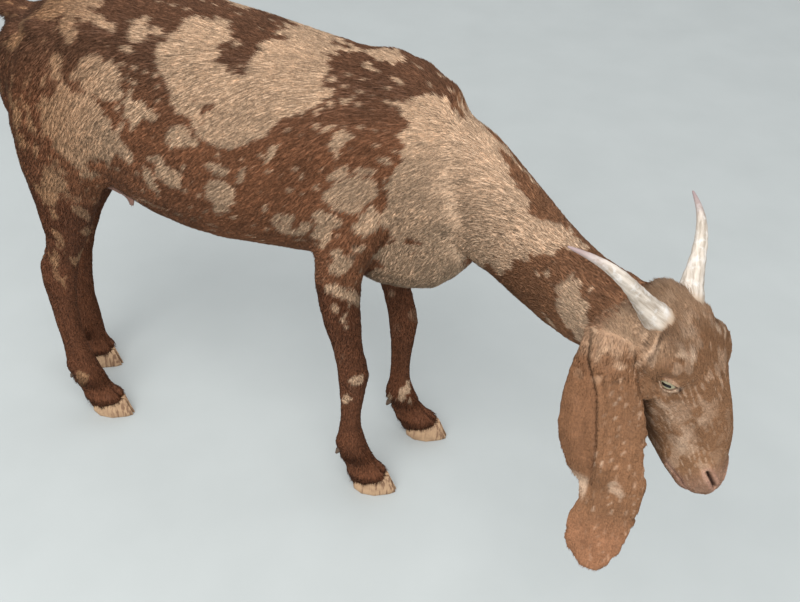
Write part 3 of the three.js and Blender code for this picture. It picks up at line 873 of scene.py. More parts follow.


# ---------------------------------------------------------------- markings, with painted light and shade
# Each patch lies on a piece of flesh. On the trunk and neck its place is the share of the way to the
# front, then the turn down from the spine in degrees; on a leg it is the height in m, then the turn
# from the front. Its half length and half width in mm and its lean in degrees follow.
LIGHT_PATCHES = {
    "hip": ("trunk", 0.19, 8, 60, 46, 0),
    "hip wedge": ("trunk", 0.215, 27, 24, 17, 80),
    "hip corner": ("trunk", 0.265, 22, 20, 9, 10),
    "rump streak": ("trunk", 0.10, 24, 30, 6, -60),
    "thigh spot": ("trunk", 0.20, 43, 22, 12, 90),
    "thigh fleck": ("trunk", 0.16, 49, 8, 4, -60),
    "thigh high": ("trunk", 0.28, 43, 32, 30, 0),
    "thigh": ("trunk", 0.25, 78, 58, 50, 10),
    "thigh front": ("trunk", 0.325, 86, 25, 20, 40),
    "thigh rear": ("trunk", 0.205, 63, 26, 24, 0),
    "thigh low": ("trunk", 0.245, 112, 17, 13, 40),
    "thigh low rear": ("trunk", 0.185, 112, 14, 11, 80),
    "buttock streak": ("trunk", 0.10, 68, 60, 7, 76),
    "buttock streak low": ("trunk", 0.145, 76, 26, 6, 70),
    "stifle": ("trunk", 0.35, 56, 22, 20, 30),
    "stifle front": ("trunk", 0.39, 58, 12, 8, 10),
    "loin": ("trunk", 0.36, 21, 20, 14, 0),
    "loin fleck": ("trunk", 0.33, 28, 9, 5, 15),
    "loin fleck low": ("trunk", 0.345, 43, 8, 3, 0),
    "flank high": ("trunk", 0.455, 67, 20, 17, 0),
    "flank": ("trunk", 0.42, 89, 27, 20, 25),
    "flank streak": ("trunk", 0.385, 103, 25, 7, 65),
    "belly high": ("trunk", 0.52, 82, 14, 11, 0),
    "belly": ("trunk", 0.53, 100, 26, 23, 90),
    "belly fleck": ("trunk", 0.575, 83, 9, 6, -30),
    "belly fleck front": ("trunk", 0.605, 101, 6, 4, 0),
    "saddle rear": ("trunk", 0.465, 28, 68, 48, 90),
    "saddle hook": ("trunk", 0.465, 51, 20, 12, 20),
    "saddle middle": ("trunk", 0.56, 44, 50, 46, 0),
    "saddle low": ("trunk", 0.54, 58, 42, 22, 0),
    "saddle front": ("trunk", 0.63, 25, 54, 58, 0),
    "saddle top": ("trunk", 0.64, 5, 46, 26, 0),
    "spine strip": ("trunk", 0.76, 1, 66, 8, 0),
    "withers fleck": ("trunk", 0.765, 12, 11, 6, 10),
    "withers fleck low": ("trunk", 0.835, 27, 11, 8, 10),
    "withers streak": ("trunk", 0.815, 16, 10, 4, 20),
    "rib streak": ("trunk", 0.735, 30, 12, 5, 10),
    "rib fleck": ("trunk", 0.62, 68, 14, 9, -40),
    "rib fleck front": ("trunk", 0.68, 82, 8, 5, -50),
    "elbow streak": ("trunk", 0.715, 47, 11, 5, 100),
    "elbow fleck": ("trunk", 0.735, 54, 14, 8, -50),
    "elbow fleck front": ("trunk", 0.81, 57, 8, 8, 0),
    "elbow spot": ("trunk", 0.735, 73, 15, 9, -45),
    "arm": ("trunk", 0.77, 88, 34, 27, -40),
    "arm low": ("trunk", 0.795, 113, 18, 15, 0),
    "arm rear": ("trunk", 0.72, 112, 20, 13, 30),
    "arm rear low": ("trunk", 0.715, 124, 16, 14, 60),
    "arm fleck": ("trunk", 0.785, 127, 9, 6, -30),
    "arm foot": ("trunk", 0.755, 136, 17, 13, 0),
    "arm inner": ("trunk", 0.81, 145, 10, 9, 0),
    "brisket rear": ("trunk", 0.645, 111, 11, 10, 0),
    "brisket": ("trunk", 0.655, 122, 26, 14, 0),
    "shoulder high": ("trunk", 0.90, 27, 46, 44, 0),
    "shoulder": ("trunk", 0.91, 75, 66, 60, 90),
    "shoulder low": ("trunk", 0.90, 115, 62, 60, 0),
    "chest": ("trunk", 0.90, 150, 62, 44, 0),
    "breast": ("trunk", 0.88, 172, 80, 70, 0),
    "breast front": ("trunk", 0.94, 125, 46, 52, 0),
    "throat base": ("neck", 0.06, 180, 60, 46, 0),
    "neck base": ("neck", 0.17, 80, 110, 104, 90),
    "neck base low": ("neck", 0.22, 145, 80, 66, 0),
    "neck ridge": ("neck", 0.50, 70, 62, 24, 0),
    "neck side": ("neck", 0.42, 130, 32, 34, 0),
    "arm heart rear": ("foreleg_right", 0.420, 100, 14, 13, 0),
    "arm heart front": ("foreleg_right", 0.412, 55, 15, 12, 0),
    "forearm fleck": ("foreleg_right", 0.385, 50, 6, 5, 0),
    "forearm spot": ("foreleg_right", 0.360, 35, 9, 6, 0),
    "knee": ("foreleg_right", 0.255, 45, 8, 8, 0),
    "cannon": ("foreleg_right", 0.200, 85, 6, 4, 0),
    "cannon rear": ("foreleg_right", 0.195, 120, 8, 6, 0),
    "left fetlock": ("foreleg_left", 0.095, 60, 17, 12, 0),
    "left fetlock rear": ("foreleg_left", 0.075, 150, 14, 10, 0),
    "gaskin": ("hindleg_right", 0.515, 62, 38, 15, 0),
    "gaskin middle": ("hindleg_right", 0.505, 92, 24, 10, 15),
    "gaskin low": ("hindleg_right", 0.455, 100, 10, 6, 0),
    "gaskin high": ("hindleg_right", 0.545, 85, 20, 12, 10),
    "gaskin rear": ("hindleg_right", 0.490, 130, 22, 6, 0),
    "gaskin streak": ("hindleg_right", 0.385, 100, 18, 4, 15),
    "hock front": ("hindleg_right", 0.352, 30, 13, 6, 10),
    "hock": ("hindleg_right", 0.345, 115, 15, 7, -10),
    "hock rear": ("hindleg_right", 0.300, 60, 12, 4, 20),
    "hind fetlock": ("hindleg_right", 0.085, 110, 17, 14, 0),
    "left hock": ("hindleg_left", 0.300, 40, 12, 10, 0),
}
# Dark places that lie over the light ones
DARK_PATCHES = {
    "saddle inlet": ("trunk", 0.565, 8, 30, 12, 0),
    "saddle inlet low": ("trunk", 0.52, 22, 28, 13, -65),
    "thigh notch": ("trunk", 0.23, 51, 15, 6, 50),
    "stifle notch": ("trunk", 0.315, 62, 18, 4, 95),
    "spine": ("trunk", 0.89, 9, 52, 9, 5),
    "hump": ("trunk", 0.86, -14, 44, 22, 0),
    "throat spot": ("neck", 0.30, 170, 16, 20, 0),
    "crest": ("neck", 0.32, -48, 80, 13, 0),
    "chest smudge": ("trunk", 0.88, 143, 12, 8, 0),
}
# Light places inside the dark ones
TOP_PATCHES = {
    "neck patch": ("neck", 0.755, 141, 36, 37, 0),
    "neck patch front": ("neck", 0.86, 148, 17, 19, 0),
    "neck streak": ("neck", 0.93, 107, 15, 7, -40),
    "throat fleck": ("neck", 0.62, 165, 12, 8, 20),
    "throat fleck high": ("neck", 0.55, 143, 8, 5, 30),
    "throat fleck low": ("neck", 0.60, 140, 8, 5, 30),
}
# Bare skin high on the inside of the left thigh
GROIN = ("hindleg_left", 0.475, 70, 42, 30, 0)
# In m: how far out a patch's place is looked for from, and half the height of a leg's slice round it
CAST_FROM = 0.5
LEG_SLICE = 0.03
# Half the width of a patch's soft edge in mm, and its size as a share of what the tables say
PATCH_EDGE = 1.2
PATCH_SIZE = 1.02


def body_line(piece):
    """The straight middle line of the trunk, or of the neck, from its rear to its front."""
    if piece == "neck":
        return box_place("trunk", (0.93, 0.5, 0.55)), from_head((-80, 0, -10))
    return box_place(piece, (0, 0.5, 0.5)), box_place(piece, (1, 0.5, 0.5))


def patch_ways(piece, place):
    """The middle of the flesh at a place, the way along it, and the ways at a turn of 0 and 90 degrees."""
    if "leg" in piece:
        corners = read(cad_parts[piece].data, "co")
        near = corners[np.abs(corners[:, 2] - place) < LEG_SLICE]
        middle = (near.min(0) + near.max(0)) / 2
        return np.array([middle[0], middle[1], place]), np.array([0, 0, 1.0]), (1, 0, 0), (0, -1, 0)
    start, end = body_line(piece)
    along = unit(end - start)
    top = unit(np.array([0, 0, 1.0]) - along * along[2])
    return start + (end - start) * place, along, top, np.cross(along, top)


def patch_spot(piece, place, turn):
    """The point of the surface at a place and turn, its normal, and the ways along and round the flesh."""
    middle, along, top, right = patch_ways(piece, place)
    angle = math.radians(turn)
    out = np.array(top) * math.cos(angle) + np.array(right) * math.sin(angle)
    start = Vector(middle + out * CAST_FROM)
    spot, normal, _, _ = NODE_TREES[piece].ray_cast(start, Vector(-out))
    if spot is None:
        spot, normal, _, _ = NODE_TREES[piece].find_nearest(start)
    normal = np.array(normal)
    first = unit(along - normal * (along @ normal))
    second = np.cross(first, normal)
    around = np.array(right) * math.cos(angle) - np.array(top) * math.sin(angle)
    return np.array(spot), normal, first, second * np.sign(second @ around)


# The lumps that push the patches' edges about: push and size in mm
RAGGED = [(9, 30), (5, 11), (2.2, 4)]


def pushed_about(points):
    """Points pushed about by lumpy noise, which gives the patches their ragged edges."""
    moved = points.copy()
    for axis in range(3):
        for number, (push, size) in enumerate(RAGGED):
            moved[:, axis] += push * MM * waves(points, size * MM, 21 + 10 * number + axis)
    return moved


def patch_mask(points, patch):
    """1 inside a patch and 0 outside it."""
    piece, place, turn, long, short, lean = patch
    spot, normal, first, second = patch_spot(piece, place, turn)
    slant = math.radians(lean)
    along = first * math.cos(slant) + second * math.sin(slant)
    across = second * math.cos(slant) - first * math.sin(slant)
    off = (points - spot) / MM
    deep = SHALLOW if "leg" in piece and place < LOW_LEG else DEEP
    reach = np.sqrt((off @ along / long) ** 2 + (off @ across / short) ** 2 + (off @ normal / deep) ** 2)
    edge = PATCH_EDGE / short
    return smooth_step(PATCH_SIZE + edge, PATCH_SIZE - edge, reach)


def any_patch(folded, plain, patches):
    """1 inside any of the patches. Those of a left leg are on that leg only."""
    points_for = {True: plain, False: folded}
    masks = [patch_mask(points_for[row[0].endswith("left")], row) for row in patches.values()]
    return np.max(masks, axis=0)


def mirrored(points):
    """Points of the left side folded onto the right, and shifted so that the two sides differ."""
    trunk_low, trunk_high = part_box("trunk")
    middle = (trunk_low.y + trunk_high.y) / 2
    left = smooth_step(0.01, 0.10, points[:, 1] - middle)
    folded = points.copy()
    folded[:, 1] = middle - np.abs(points[:, 1] - middle)
    folded[:, 0] += left * (0.07 * waves(points, 0.20, 11) + 0.045)
    folded[:, 2] += left * 0.045 * waves(points, 0.14, 12)
    return folded


def ground_colours(points, kinds):
    """The dark colour under the markings: it changes from part to part."""
    palette = {"trunk": DARK_BROWN, "neck": NECK_BROWN, "head": FACE_BROWN, "tail": LOIN_BROWN,
               "udder": BARE_PINK, "leg": LEG_BROWN_AND_SHADE, "ear": EAR_BROWN}
    colours = np.array([palette[k] for k in kinds])
    on_trunk = kinds == "trunk"
    colours = blend(colours, LEG_BROWN_AND_SHADE, smooth_step(0.42, 0.28, points[:, 2]) * on_trunk)
    colours = blend(colours, LEG_BROWN_AND_SHADE, 0.6 * smooth_step(-0.34, -0.44, points[:, 0]) * on_trunk)
    return blend(colours, LOIN_BROWN, 0.9 * smooth_step(0.62, 0.74, points[:, 2]) * on_trunk)


def flecks(points, size, share, seed):
    """Small scattered flecks: 1 in them and 0 between, with share setting how rare they are."""
    return smooth_step(share, share + 0.18, waves(points, size, seed, 9))


def ball(heads, centre, radius):
    """1 near a place on the head, on either side, fading to 0 at the radius, both in mm."""
    folded = heads.copy()
    folded[:, 1] = -np.abs(heads[:, 1])
    return smooth_step(radius, 0.4 * radius, np.linalg.norm(folded - np.array(centre), axis=1))


# The pale spot on the ear's lobe: mm along the ear, mm forward, and its radius
EAR_SPOT = (142, 13, 9)
# Spots of the face: place in head mm, radius, amount
PALE_SPOTS = [
    ((-22, -36, 27), 13, 0.5),
    ((40, -42, -15), 26, 0.2),
    ((76, -34, -28), 24, 0.22),
    ((-42, -20, 34), 14, 0.35),
]
BROWN_AND_SHADED_SPOTS = [
    ((-48, -36, 20), 22, 0.45),
    # painted shade in the hollow over the eye
    ((-21, -60, 16), 7, 0.4),
    ((80, -18, 4), 36, 0.3),
]


def face_colours(points, colours):
    """The face's markings: pale speckle and spots, light hair on the poll, brown brow, pinkish nose, and
    painted shade in the hollow over each eye.
    """
    heads = in_head(points)
    forward = heads[:, 0]
    long_way = heads * (0.55, 1, 1)
    speckle = flecks(long_way, 3.2, 0.5, 91) * smooth_step(-10, 20, forward) * 0.26
    speckle = np.maximum(speckle, flecks(long_way, 10, 0.3, 92) * 0.2)
    bridge = smooth_step(26, 14, np.abs(heads[:, 1])) * smooth_step(20, 50, forward)
    colours = blend(colours, PALE, speckle * (1 - 0.6 * bridge))
    colours = blend(colours, TAN, 0.45 * smooth_step(-30, -75, forward))
    ragged = heads + 6 * waves(heads, 9, 93)[:, None]
    for centre, radius, amount in PALE_SPOTS:
        colours = blend(colours, PALE, amount * ball(ragged, centre, radius))
    for centre, radius, amount in BROWN_AND_SHADED_SPOTS:
        colours = blend(colours, BROW_BROWN_AND_SHADE, amount * ball(heads, centre, radius))
    colours = blend(colours, NOSE_PINK, 0.55 * smooth_step(106, 134, forward))
    for side in (-1, 1):
        colours = line_colours(heads, side, colours)
        colours = lid_colours(heads, side, colours)
    return colours


def line_colours(heads, side, colours):
    """Dark nostrils and lips, painted shade in the creases at the temple and between ear and cheek, with pink
    skin round the nostrils and on the lips.
    """
    nostril, gap, temple, lips = (
        line_reach(heads, flesh_line(line, side)) for line in (NOSTRIL, EAR_GAP, TEMPLE, MOUTH))
    colours = blend(colours, NOSTRIL_DARK_AND_SHADE, np.exp(-(nostril / 2.4) ** 4))
    # Painted shadow in the slit between the ear and the cheek
    colours = blend(colours, NOSTRIL_DARK_AND_SHADE, ring(gap, 0, 2.5, 0.5))
    # Painted shade in the groove at the temple
    colours = blend(colours, NOSTRIL_DARK_AND_SHADE, ring(temple, 0, 2.2, 0.5))
    colours = blend(colours, LIP_PINK_AND_HIGHLIGHT, ring(nostril, 5, 2.5, 0.35))
    colours = blend(colours, LIP_PINK_AND_HIGHLIGHT, ring(lips, 0, 6, 0.5))
    return blend(colours, NOSTRIL_DARK_AND_SHADE, ring(lips, 0, 1.6, 0.75))


def root_colours(points, colours):
    """Tan hair on the head and neck round the roots of the ears, which runs on down the ears."""
    heads = in_head(points)
    behind = smooth_step(-18, -40, heads[:, 0])
    for ear in EARS:
        reach = np.linalg.norm(points - EAR_FRAMES[ear][0], axis=1) / MM + 8 * waves(heads, 14, 90)
        colours = blend(colours, TAN, ROOT_TAN * behind * smooth_step(84, 50, reach))
    return colours


def lid_colours(heads, side, colours):
    """A dark rim round the eye's slit, a pale lower lid outside it, a dark line at its front corner, and
    pinkish skin with a painted highlight on the bulge over the eye.
    """
    along, across, off = eye_coordinates(heads, side)
    near = np.linalg.norm(off, axis=1) < 26
    inside = lid_opening(along, across)
    lower = smooth_step(1, -1, across)
    pale = smooth_step(-4.6, -3.4, inside) * smooth_step(-0.6, -1.4, inside) * lower
    rim = smooth_step(-1.0, -0.4, inside) * (1 - 0.35 * lower)
    tear = bell(along, across, (12, -3), (1.8, 4))
    bag = bell(along, across, (-6, 14), (9, 4))
    # Pinkish skin with a painted highlight on the bulge over the eye
    colours = blend(colours, LIP_PINK_AND_HIGHLIGHT, 0.3 * bag * near)
    colours = blend(colours, PALE, 0.45 * pale * near)
    return blend(colours, NOSTRIL_DARK_AND_SHADE, np.maximum(rim, tear) * near)


def ear_colours(points, colours, ear):
    """The ear's markings: tan root, thin pale flecks along it, a pale spot, a pale edge in its notch, and
    painted shade behind its fold and in the fold's crease.
    """
    flat = in_ear(points, ear)
    down, forward = flat[:, 0], flat[:, 1]
    front = past(flat, EAR_FOLD)
    ragged = flat + 6 * waves(flat, 9, 95)[:, None]
    colours = blend(colours, TAN, ROOT_TAN * smooth_step(-6, -36, ragged[:, 0] + 0.3 * ragged[:, 1]))
    colours = blend(colours, TAN, 0.35 * flecks(flat, 12, 0.5, 94) * smooth_step(40, 5, down))
    thin = flecks(flat * (0.3, 1, 0.3), 2.2, 0.6, 96) * smooth_step(-30, -10, forward)
    colours = blend(colours, PALE, 0.32 * thin * (0.5 + 0.5 * waves(flat, 16, 99)))
    spot = np.hypot(ragged[:, 0] - EAR_SPOT[0], ragged[:, 1] - EAR_SPOT[1]) / EAR_SPOT[2]
    colours = blend(colours, PALE, 0.34 * smooth_step(1.3, 0.6, spot))
    notch = smooth_step(138, 148, down) * smooth_step(176, 160, down)
    colours = blend(colours, PALE, 0.45 * notch * smooth_step(-17, -22, forward))
    long_way = flat * (0.1, 1, 0)
    streaks = waves(long_way, 2.6, 97) + 0.7 * waves(long_way, 7, 98)
    colours = colours * (1 + 0.06 * streaks)[:, None]
    # Painted shade on the rear flap, where it lies under the front flap
    behind = smooth_step(1.5, -2.5, front) * smooth_step(150, 120, down)
    colours = blend(colours, LEG_BROWN_AND_SHADE, 0.18 * behind)
    # Painted shade in the crease of the fold
    crease = ring(front, -1.5, 2.2, 0.2) * smooth_step(150, 130, down) * smooth_step(-40, -20, down)
    colours = blend(colours, LEG_BROWN_AND_SHADE, crease)
    return blend(colours, LOBE_BROWN, 0.5 * smooth_step(165, 215, down))


def marked(points, kinds):
    """How much of the light colour each point has: the patches, and scattered flecks on the hind parts."""
    folded, plain = pushed_about(mirrored(points)), pushed_about(points)
    light = any_patch(folded, plain, LIGHT_PATCHES) * (1 - any_patch(folded, plain, DARK_PATCHES))
    light = np.maximum(light, any_patch(folded, plain, TOP_PATCHES)) * ~np.isin(kinds, ("head", "ear"))
    ahead, height = points[:, 0], points[:, 2]
    high_leg = (kinds == "leg") * smooth_step(0.2, 0.4, height)
    hind = (kinds == "trunk") * smooth_step(-0.30, -0.42, ahead) * smooth_step(0.72, 0.62, height)
    light = np.maximum(light, 0.8 * flecks(points * (1, 1, 0.5), 15 * MM, 0.62, 31) * high_leg)
    light = np.maximum(light, 0.75 * flecks(points * (1, 1, 0.35), 9 * MM, 0.66, 33) * hind)
    return np.maximum(light, 0.7 * flecks(points, 8 * MM, 0.86, 34) * (kinds == "trunk"))


def paint(points, owners):
    """The coat's colour at each point, as linear RGB, with some painted light and shade."""
    kinds = kinds_of(owners)
    tan = TAN + (THIGH_TAN - TAN) * smooth_step(-0.25, -0.45, points[:, 0])[:, None]
    # Painted light: the tan grows paler towards the front, on the shoulder and chest
    tan = blend(tan, PALE, 0.15 * smooth_step(0.06, 0.20, points[:, 0]))
    colours = blend(ground_colours(points, kinds), tan, marked(points, kinds))
    groin = patch_mask(pushed_about(points), GROIN) * np.isin(kinds, ("leg", "trunk"))
    colours = blend(colours, BARE_PINK, 0.6 * groin)
    near_ears = np.isin(kinds, ("head", "neck"))
    colours[near_ears] = root_colours(points[near_ears], colours[near_ears])
    on_head = kinds == "head"
    colours[on_head] = face_colours(points[on_head], colours[on_head])
    for ear in EARS:
        on_ear = lies_on(owners, ear)
        colours[on_ear] = ear_colours(points[on_ear], colours[on_ear], ear)
    cloud = 1 + 0.07 * waves(points, 50 * MM, 41) + 0.05 * waves(points, 14 * MM, 42)
    return colours * cloud[:, None]


# ---------------------------------------------------------------- lie of the coat
# Guides on the trunk and neck: node, place in its box, way the hair lies, length in mm, lift in mm.
# Those of the trunk's right side are repeated on its left.
LIE = [
    ("trunk", (0.95, 0.5, 0.80), (-0.8, 0.1, 0.25), 16, 3.4),
    ("trunk", (0.85, 0.5, 0.90), (-1, 0, -0.05), 17, 3.6),
    ("trunk", (0.60, 0.5, 0.95), (-1, 0, -0.05), 16, 3.2),
    ("trunk", (0.30, 0.5, 0.98), (-1, 0, -0.05), 16, 3.2),
    ("trunk", (0.08, 0.5, 0.90), (-0.7, 0, -0.7), 17, 3.2),
    ("trunk", (0.90, 0.15, 0.55), (-0.6, 0, -0.8), 15, 3.0),
    ("trunk", (0.70, 0.10, 0.60), (-0.8, 0, -0.6), 15, 3.0),
    ("trunk", (0.50, 0.05, 0.60), (-0.75, 0, -0.65), 15, 3.0),
    ("trunk", (0.35, 0.05, 0.50), (-0.6, 0, -0.75), 15, 3.0),
    ("trunk", (0.18, 0.05, 0.55), (-0.3, 0, -0.95), 15, 3.0),
    ("trunk", (0.05, 0.30, 0.60), (0, 0, -1), 17, 3.2),
    ("trunk", (0.55, 0.5, 0.20), (-0.9, 0, -0.1), 15, 3.0),
    ("trunk", (0.99, 0.5, 0.40), (-0.1, 0, -1), 17, 3.4),
    ("trunk", (0.88, 0.5, 0.10), (-0.6, 0, -0.6), 17, 3.4),
    ("trunk", (0.80, 0.10, 0.25), (-0.4, 0, -0.9), 14, 3.0),
    ("neck", (0.10, 0.85, 0.70), (-0.75, 0.55, 0.35), 16, 3.4),
    ("neck", (0.30, 0.60, 0.75), (-0.75, 0.6, 0.3), 16, 3.4),
    ("neck", (0.60, 0.40, 0.70), (-0.75, 0.6, 0.25), 14, 3.2),
    ("neck", (0.30, 0.45, 0.35), (-0.8, 0.5, -0.25), 14, 3.0),
    ("neck", (0.60, 0.15, 0.35), (-0.8, 0.5, -0.1), 12, 2.6),
    ("neck", (0.15, 0.60, 0.10), (-0.7, 0.4, -0.6), 15, 3.0),
]
# Guides on every leg and on the tail, given in the same way
LEG_LIE = {
    "foreleg": [((0.5, 0.5, 0.85), (-0.15, 0, -1), 11, 2.0), ((0.5, 0.5, 0.40), (-0.05, 0, -1), 8, 1.6)],
    "hindleg": [((0.6, 0.5, 0.85), (-0.2, 0, -1), 11, 2.0), ((0.4, 0.5, 0.40), (-0.05, 0, -1), 8, 1.6)],
}
TAIL_LIE = ("tail", (0.5, 0.5, 0.5), (-0.9, 0, 0.3), 18, 4.0)
# Guides on the right side of the face, from the muzzle up to the poll and back over the cheeks, in head mm
HEAD_LIE = [
    ((130, -8, -8), (-1, -0.1, 0), 1.6, 0.2),
    ((80, -12, 8), (-1, -0.2, 0.1), 3.5, 0.5),
    ((10, -14, 28), (-0.9, -0.35, 0.2), 6, 0.9),
    ((-30, -16, 34), (-0.9, -0.25, 0.1), 13, 3.6),
    ((-60, -10, 30), (-0.8, -0.35, 0.1), 16, 4.6),
    ((0, -50, 4), (-0.6, 0, 0.6), 3.0, 0.35),
    ((125, -22, -40), (-1, 0, -0.2), 1.6, 0.2),
    ((95, -30, -40), (-1, 0, -0.2), 3.0, 0.4),
    ((50, -38, -40), (-0.9, 0, -0.4), 4.5, 0.6),
    ((0, -50, -40), (-0.8, 0, -0.6), 7, 1.0),
    ((-40, -50, -30), (-0.9, 0, -0.4), 9, 1.4),
    ((120, -10, -75), (-0.9, 0, -0.3), 5, 1.0),
    ((40, -10, -90), (-1, 0, -0.1), 9, 1.8),
]
# How far a guide of the body and of the face reaches, in m, and how much of the length the body keeps
LIE_REACH = 0.07
HEAD_LIE_REACH = 0.02
COAT_TRIM = 0.8
# What keeps the guides' weights above nothing far from all of them
LEAST_WEIGHT = 1e-12
# Length and lift in mm of an ear's hair, and what its root, the coronet and the fetlock's rear add
EAR_HAIR = (4, 0.25)
EAR_ROOT_HAIR = (3.5, 0.35)
CORONET_HAIR = (7, 0.5)
FETLOCK_HAIR = (8, 2.6)


def body_lie():
    """The guides of the body: place, way, length, lift and reach of each."""
    rows = []
    for node, (ahead, across, high), *rest in LIE:
        rows.append((node, (ahead, across, high), *rest))
        if node == "trunk" and across < 0.5:
            rows.append((node, (ahead, 1 - across, high), *rest))
    rows += [(leg, *row) for leg in LEGS for row in LEG_LIE[leg.split("_")[0]]]
    rows.append(TAIL_LIE)
    return [(box_place(node, place), *rest, LIE_REACH) for node, place, *rest in rows]


def head_lie():
    """The guides of the face, on both sides."""
    rows = []
    for side in (1, -1):
        flip = np.array([1, side, 1])
        rows += [(from_head(place * flip), way * flip @ HEAD_AXES, length, lift, HEAD_LIE_REACH)
                 for place, way, length, lift in HEAD_LIE]
    return rows


def lie_table():
    """Arrays of the guides' places, ways, lengths, lifts and reaches."""
    rows = body_lie() + head_lie()
    columns = [np.array([row[k] for row in rows], float) for k in range(5)]
    columns[1] = unit(columns[1])
    return columns


def lie_of(points, normals, owners):
    """The way the hair lies at each point, with its length and lift in metres."""
    spots, ways, lengths, lifts, reaches = lie_table()
    gap = ((points[:, None] - spots[None]) ** 2).sum(2)
    weight = np.exp(-gap / (2 * reaches ** 2)) + LEAST_WEIGHT
    weight /= weight.sum(1, keepdims=True)
    way, length, lift = weight @ ways, weight @ lengths, weight @ lifts
    trim = np.where(lies_on(owners, "head"), 1, COAT_TRIM)
    length, lift = length * trim, lift * trim * trim
    for ear in EARS:
        on_ear = lies_on(owners, ear)
        flat = in_ear(points[on_ear], ear)
        root = smooth_step(30, -10, flat[:, 0])
        way[on_ear] = EAR_FRAMES[ear][1][0]
        length[on_ear] = EAR_HAIR[0] + EAR_ROOT_HAIR[0] * root
        lift[on_ear] = EAR_HAIR[1] + EAR_ROOT_HAIR[1] * root
    for leg in LEGS:
        on_leg = lies_on(owners, leg)
        centre, top, forward, _ = FEET[leg]
        height = (points[on_leg, 2] - top) / MM
        behind = smooth_step(-2, 12, (centre - points[on_leg]) @ forward / MM)
        edge = smooth_step(16, 4, height)
        tuft = ring(height, 46, 12, 1) * behind
        length[on_leg] += CORONET_HAIR[0] * edge + FETLOCK_HAIR[0] * tuft
        lift[on_leg] += CORONET_HAIR[1] * edge + FETLOCK_HAIR[1] * tuft
    way -= normals * (way * normals).sum(1)[:, None]
    return unit(way), length * MM, lift * MM


# ---------------------------------------------------------------- coat
# Tufts for each square cm, their width in mm, and the mean gap in mm between locks that lie together
CROWD = {"trunk": 24, "neck": 26, "head": 56, "tail": 26, "udder": 3, "leg": 30, "ear": 42}
TUFT_WIDTH = {"trunk": 1.1, "neck": 1.05, "head": 0.55, "tail": 1.2, "udder": 0.5, "leg": 0.85, "ear": 0.55}
LOCK_GAP = {"trunk": 4.0, "neck": 4.0, "head": 2.4, "tail": 5, "udder": 4, "leg": 3.2, "ear": 3.0}
PER_SQUARE_METRE = 1e4
# How deep the tufts' roots are set in the skin
SUNK = 1.0 * MM
COAT_SEED = 5
# How much of the change of shade from tuft to tuft is left on the head and ears
CALM_SHADE = 0.55
# In mm: the reach of the lids round an eye's middle, and of bare skin round its slit and the nostrils
LID_AREA = 24
BARE_LID = 1.8
BARE_NOSTRIL = 4
# A tuft's four corners: left, right and back of its root, and its tip
TUFT_FACES = np.array([[0, 1, 2], [0, 3, 1], [1, 3, 2], [2, 3, 0]])
TUFT_TIPS = [0.0, 0.0, 0.0, 1.0]
TUFT_UV = 0.0015 * np.array([[-1, -1], [1, -1], [-1, 1], [1, 1]])


def skin_triangles(mesh):
    mesh.calc_loop_triangles()
    corners = np.empty(len(mesh.loop_triangles) * 3, np.int32)
    mesh.loop_triangles.foreach_get("vertices", corners)
    return corners.reshape(-1, 3)


def tuft_roots(skin, owners, flat, rng):
    """The tufts' roots, spread evenly: their places, places before sculpting, normals and nodes."""
    places, normals = read(skin.data, "co"), read(skin.data, "normal")
    corners = skin_triangles(skin.data)
    edge_one = places[corners[:, 1]] - places[corners[:, 0]]
    edge_two = places[corners[:, 2]] - places[corners[:, 0]]
    area = np.linalg.norm(np.cross(edge_one, edge_two), axis=1) / 2
    crowd = by_kind(CROWD, owners[corners[:, 0]]) * PER_SQUARE_METRE
    crowd = crowd * bare_places(flat[corners[:, 0]])
    total = np.cumsum(area * crowd)
    count = int(total[-1])
    drawn = np.searchsorted(total, np.arange(count) + rng.random(count))
    drawn = np.minimum(drawn, len(corners) - 1)
    one, two = rng.random(count), rng.random(count)
    flip = one + two > 1
    one, two = np.where(flip, 1 - one, one), np.where(flip, 1 - two, two)
    mix = np.stack([1 - one - two, one, two], 1)[:, :, None]
    chosen = corners[drawn]
    return ((places[chosen] * mix).sum(1), (flat[chosen] * mix).sum(1),
            unit((normals[chosen] * mix).sum(1)), owners[chosen[:, 0]])


def bare_places(points):
    """0 where no hair grows: in the eyes' slits, on their rims and in the nostrils."""
    heads = in_head(points)
    hairy = np.ones(len(points))
    for side in (-1, 1):
        along, across, off = eye_coordinates(heads, side)
        near = np.linalg.norm(off, axis=1) < LID_AREA
        hairy *= np.where(near & (lid_opening(along, across) > -BARE_LID), 0, 1)
        hairy *= np.where(line_reach(heads, flesh_line(NOSTRIL, side)) < BARE_NOSTRIL, 0, 1)
    return hairy


def coat_piece(name, tufts, uv):
    """One joined mesh of closed three-sided spikes."""
    points, tints = tufts
    count = len(points) // 4
    faces = (np.arange(count)[:, None, None] * 4 + TUFT_FACES).reshape(-1, 3)
    mesh = bpy.data.meshes.new(name)
    mesh.vertices.add(len(points))
    write(mesh.vertices, "co", points)
    mesh.loops.add(faces.size)
    mesh.loops.foreach_set("vertex_index", faces.astype(np.int32).ravel())
    mesh.polygons.add(len(faces))
    mesh.polygons.foreach_set("loop_start", np.arange(0, faces.size, 3, dtype=np.int32))
    mesh.update(calc_edges=True)
    add_tones(mesh, tints)
    add_numbers(mesh, "tip", np.tile(TUFT_TIPS, count))
    write(mesh.uv_layers.new(name="OFBake").data, "uv", uv[faces.ravel()])
    mesh.polygons.foreach_set("use_smooth", np.ones(len(faces), bool))
    obj = link(name, mesh)
    mesh.materials.append(MATERIALS["coat"])
    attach(obj, "root")


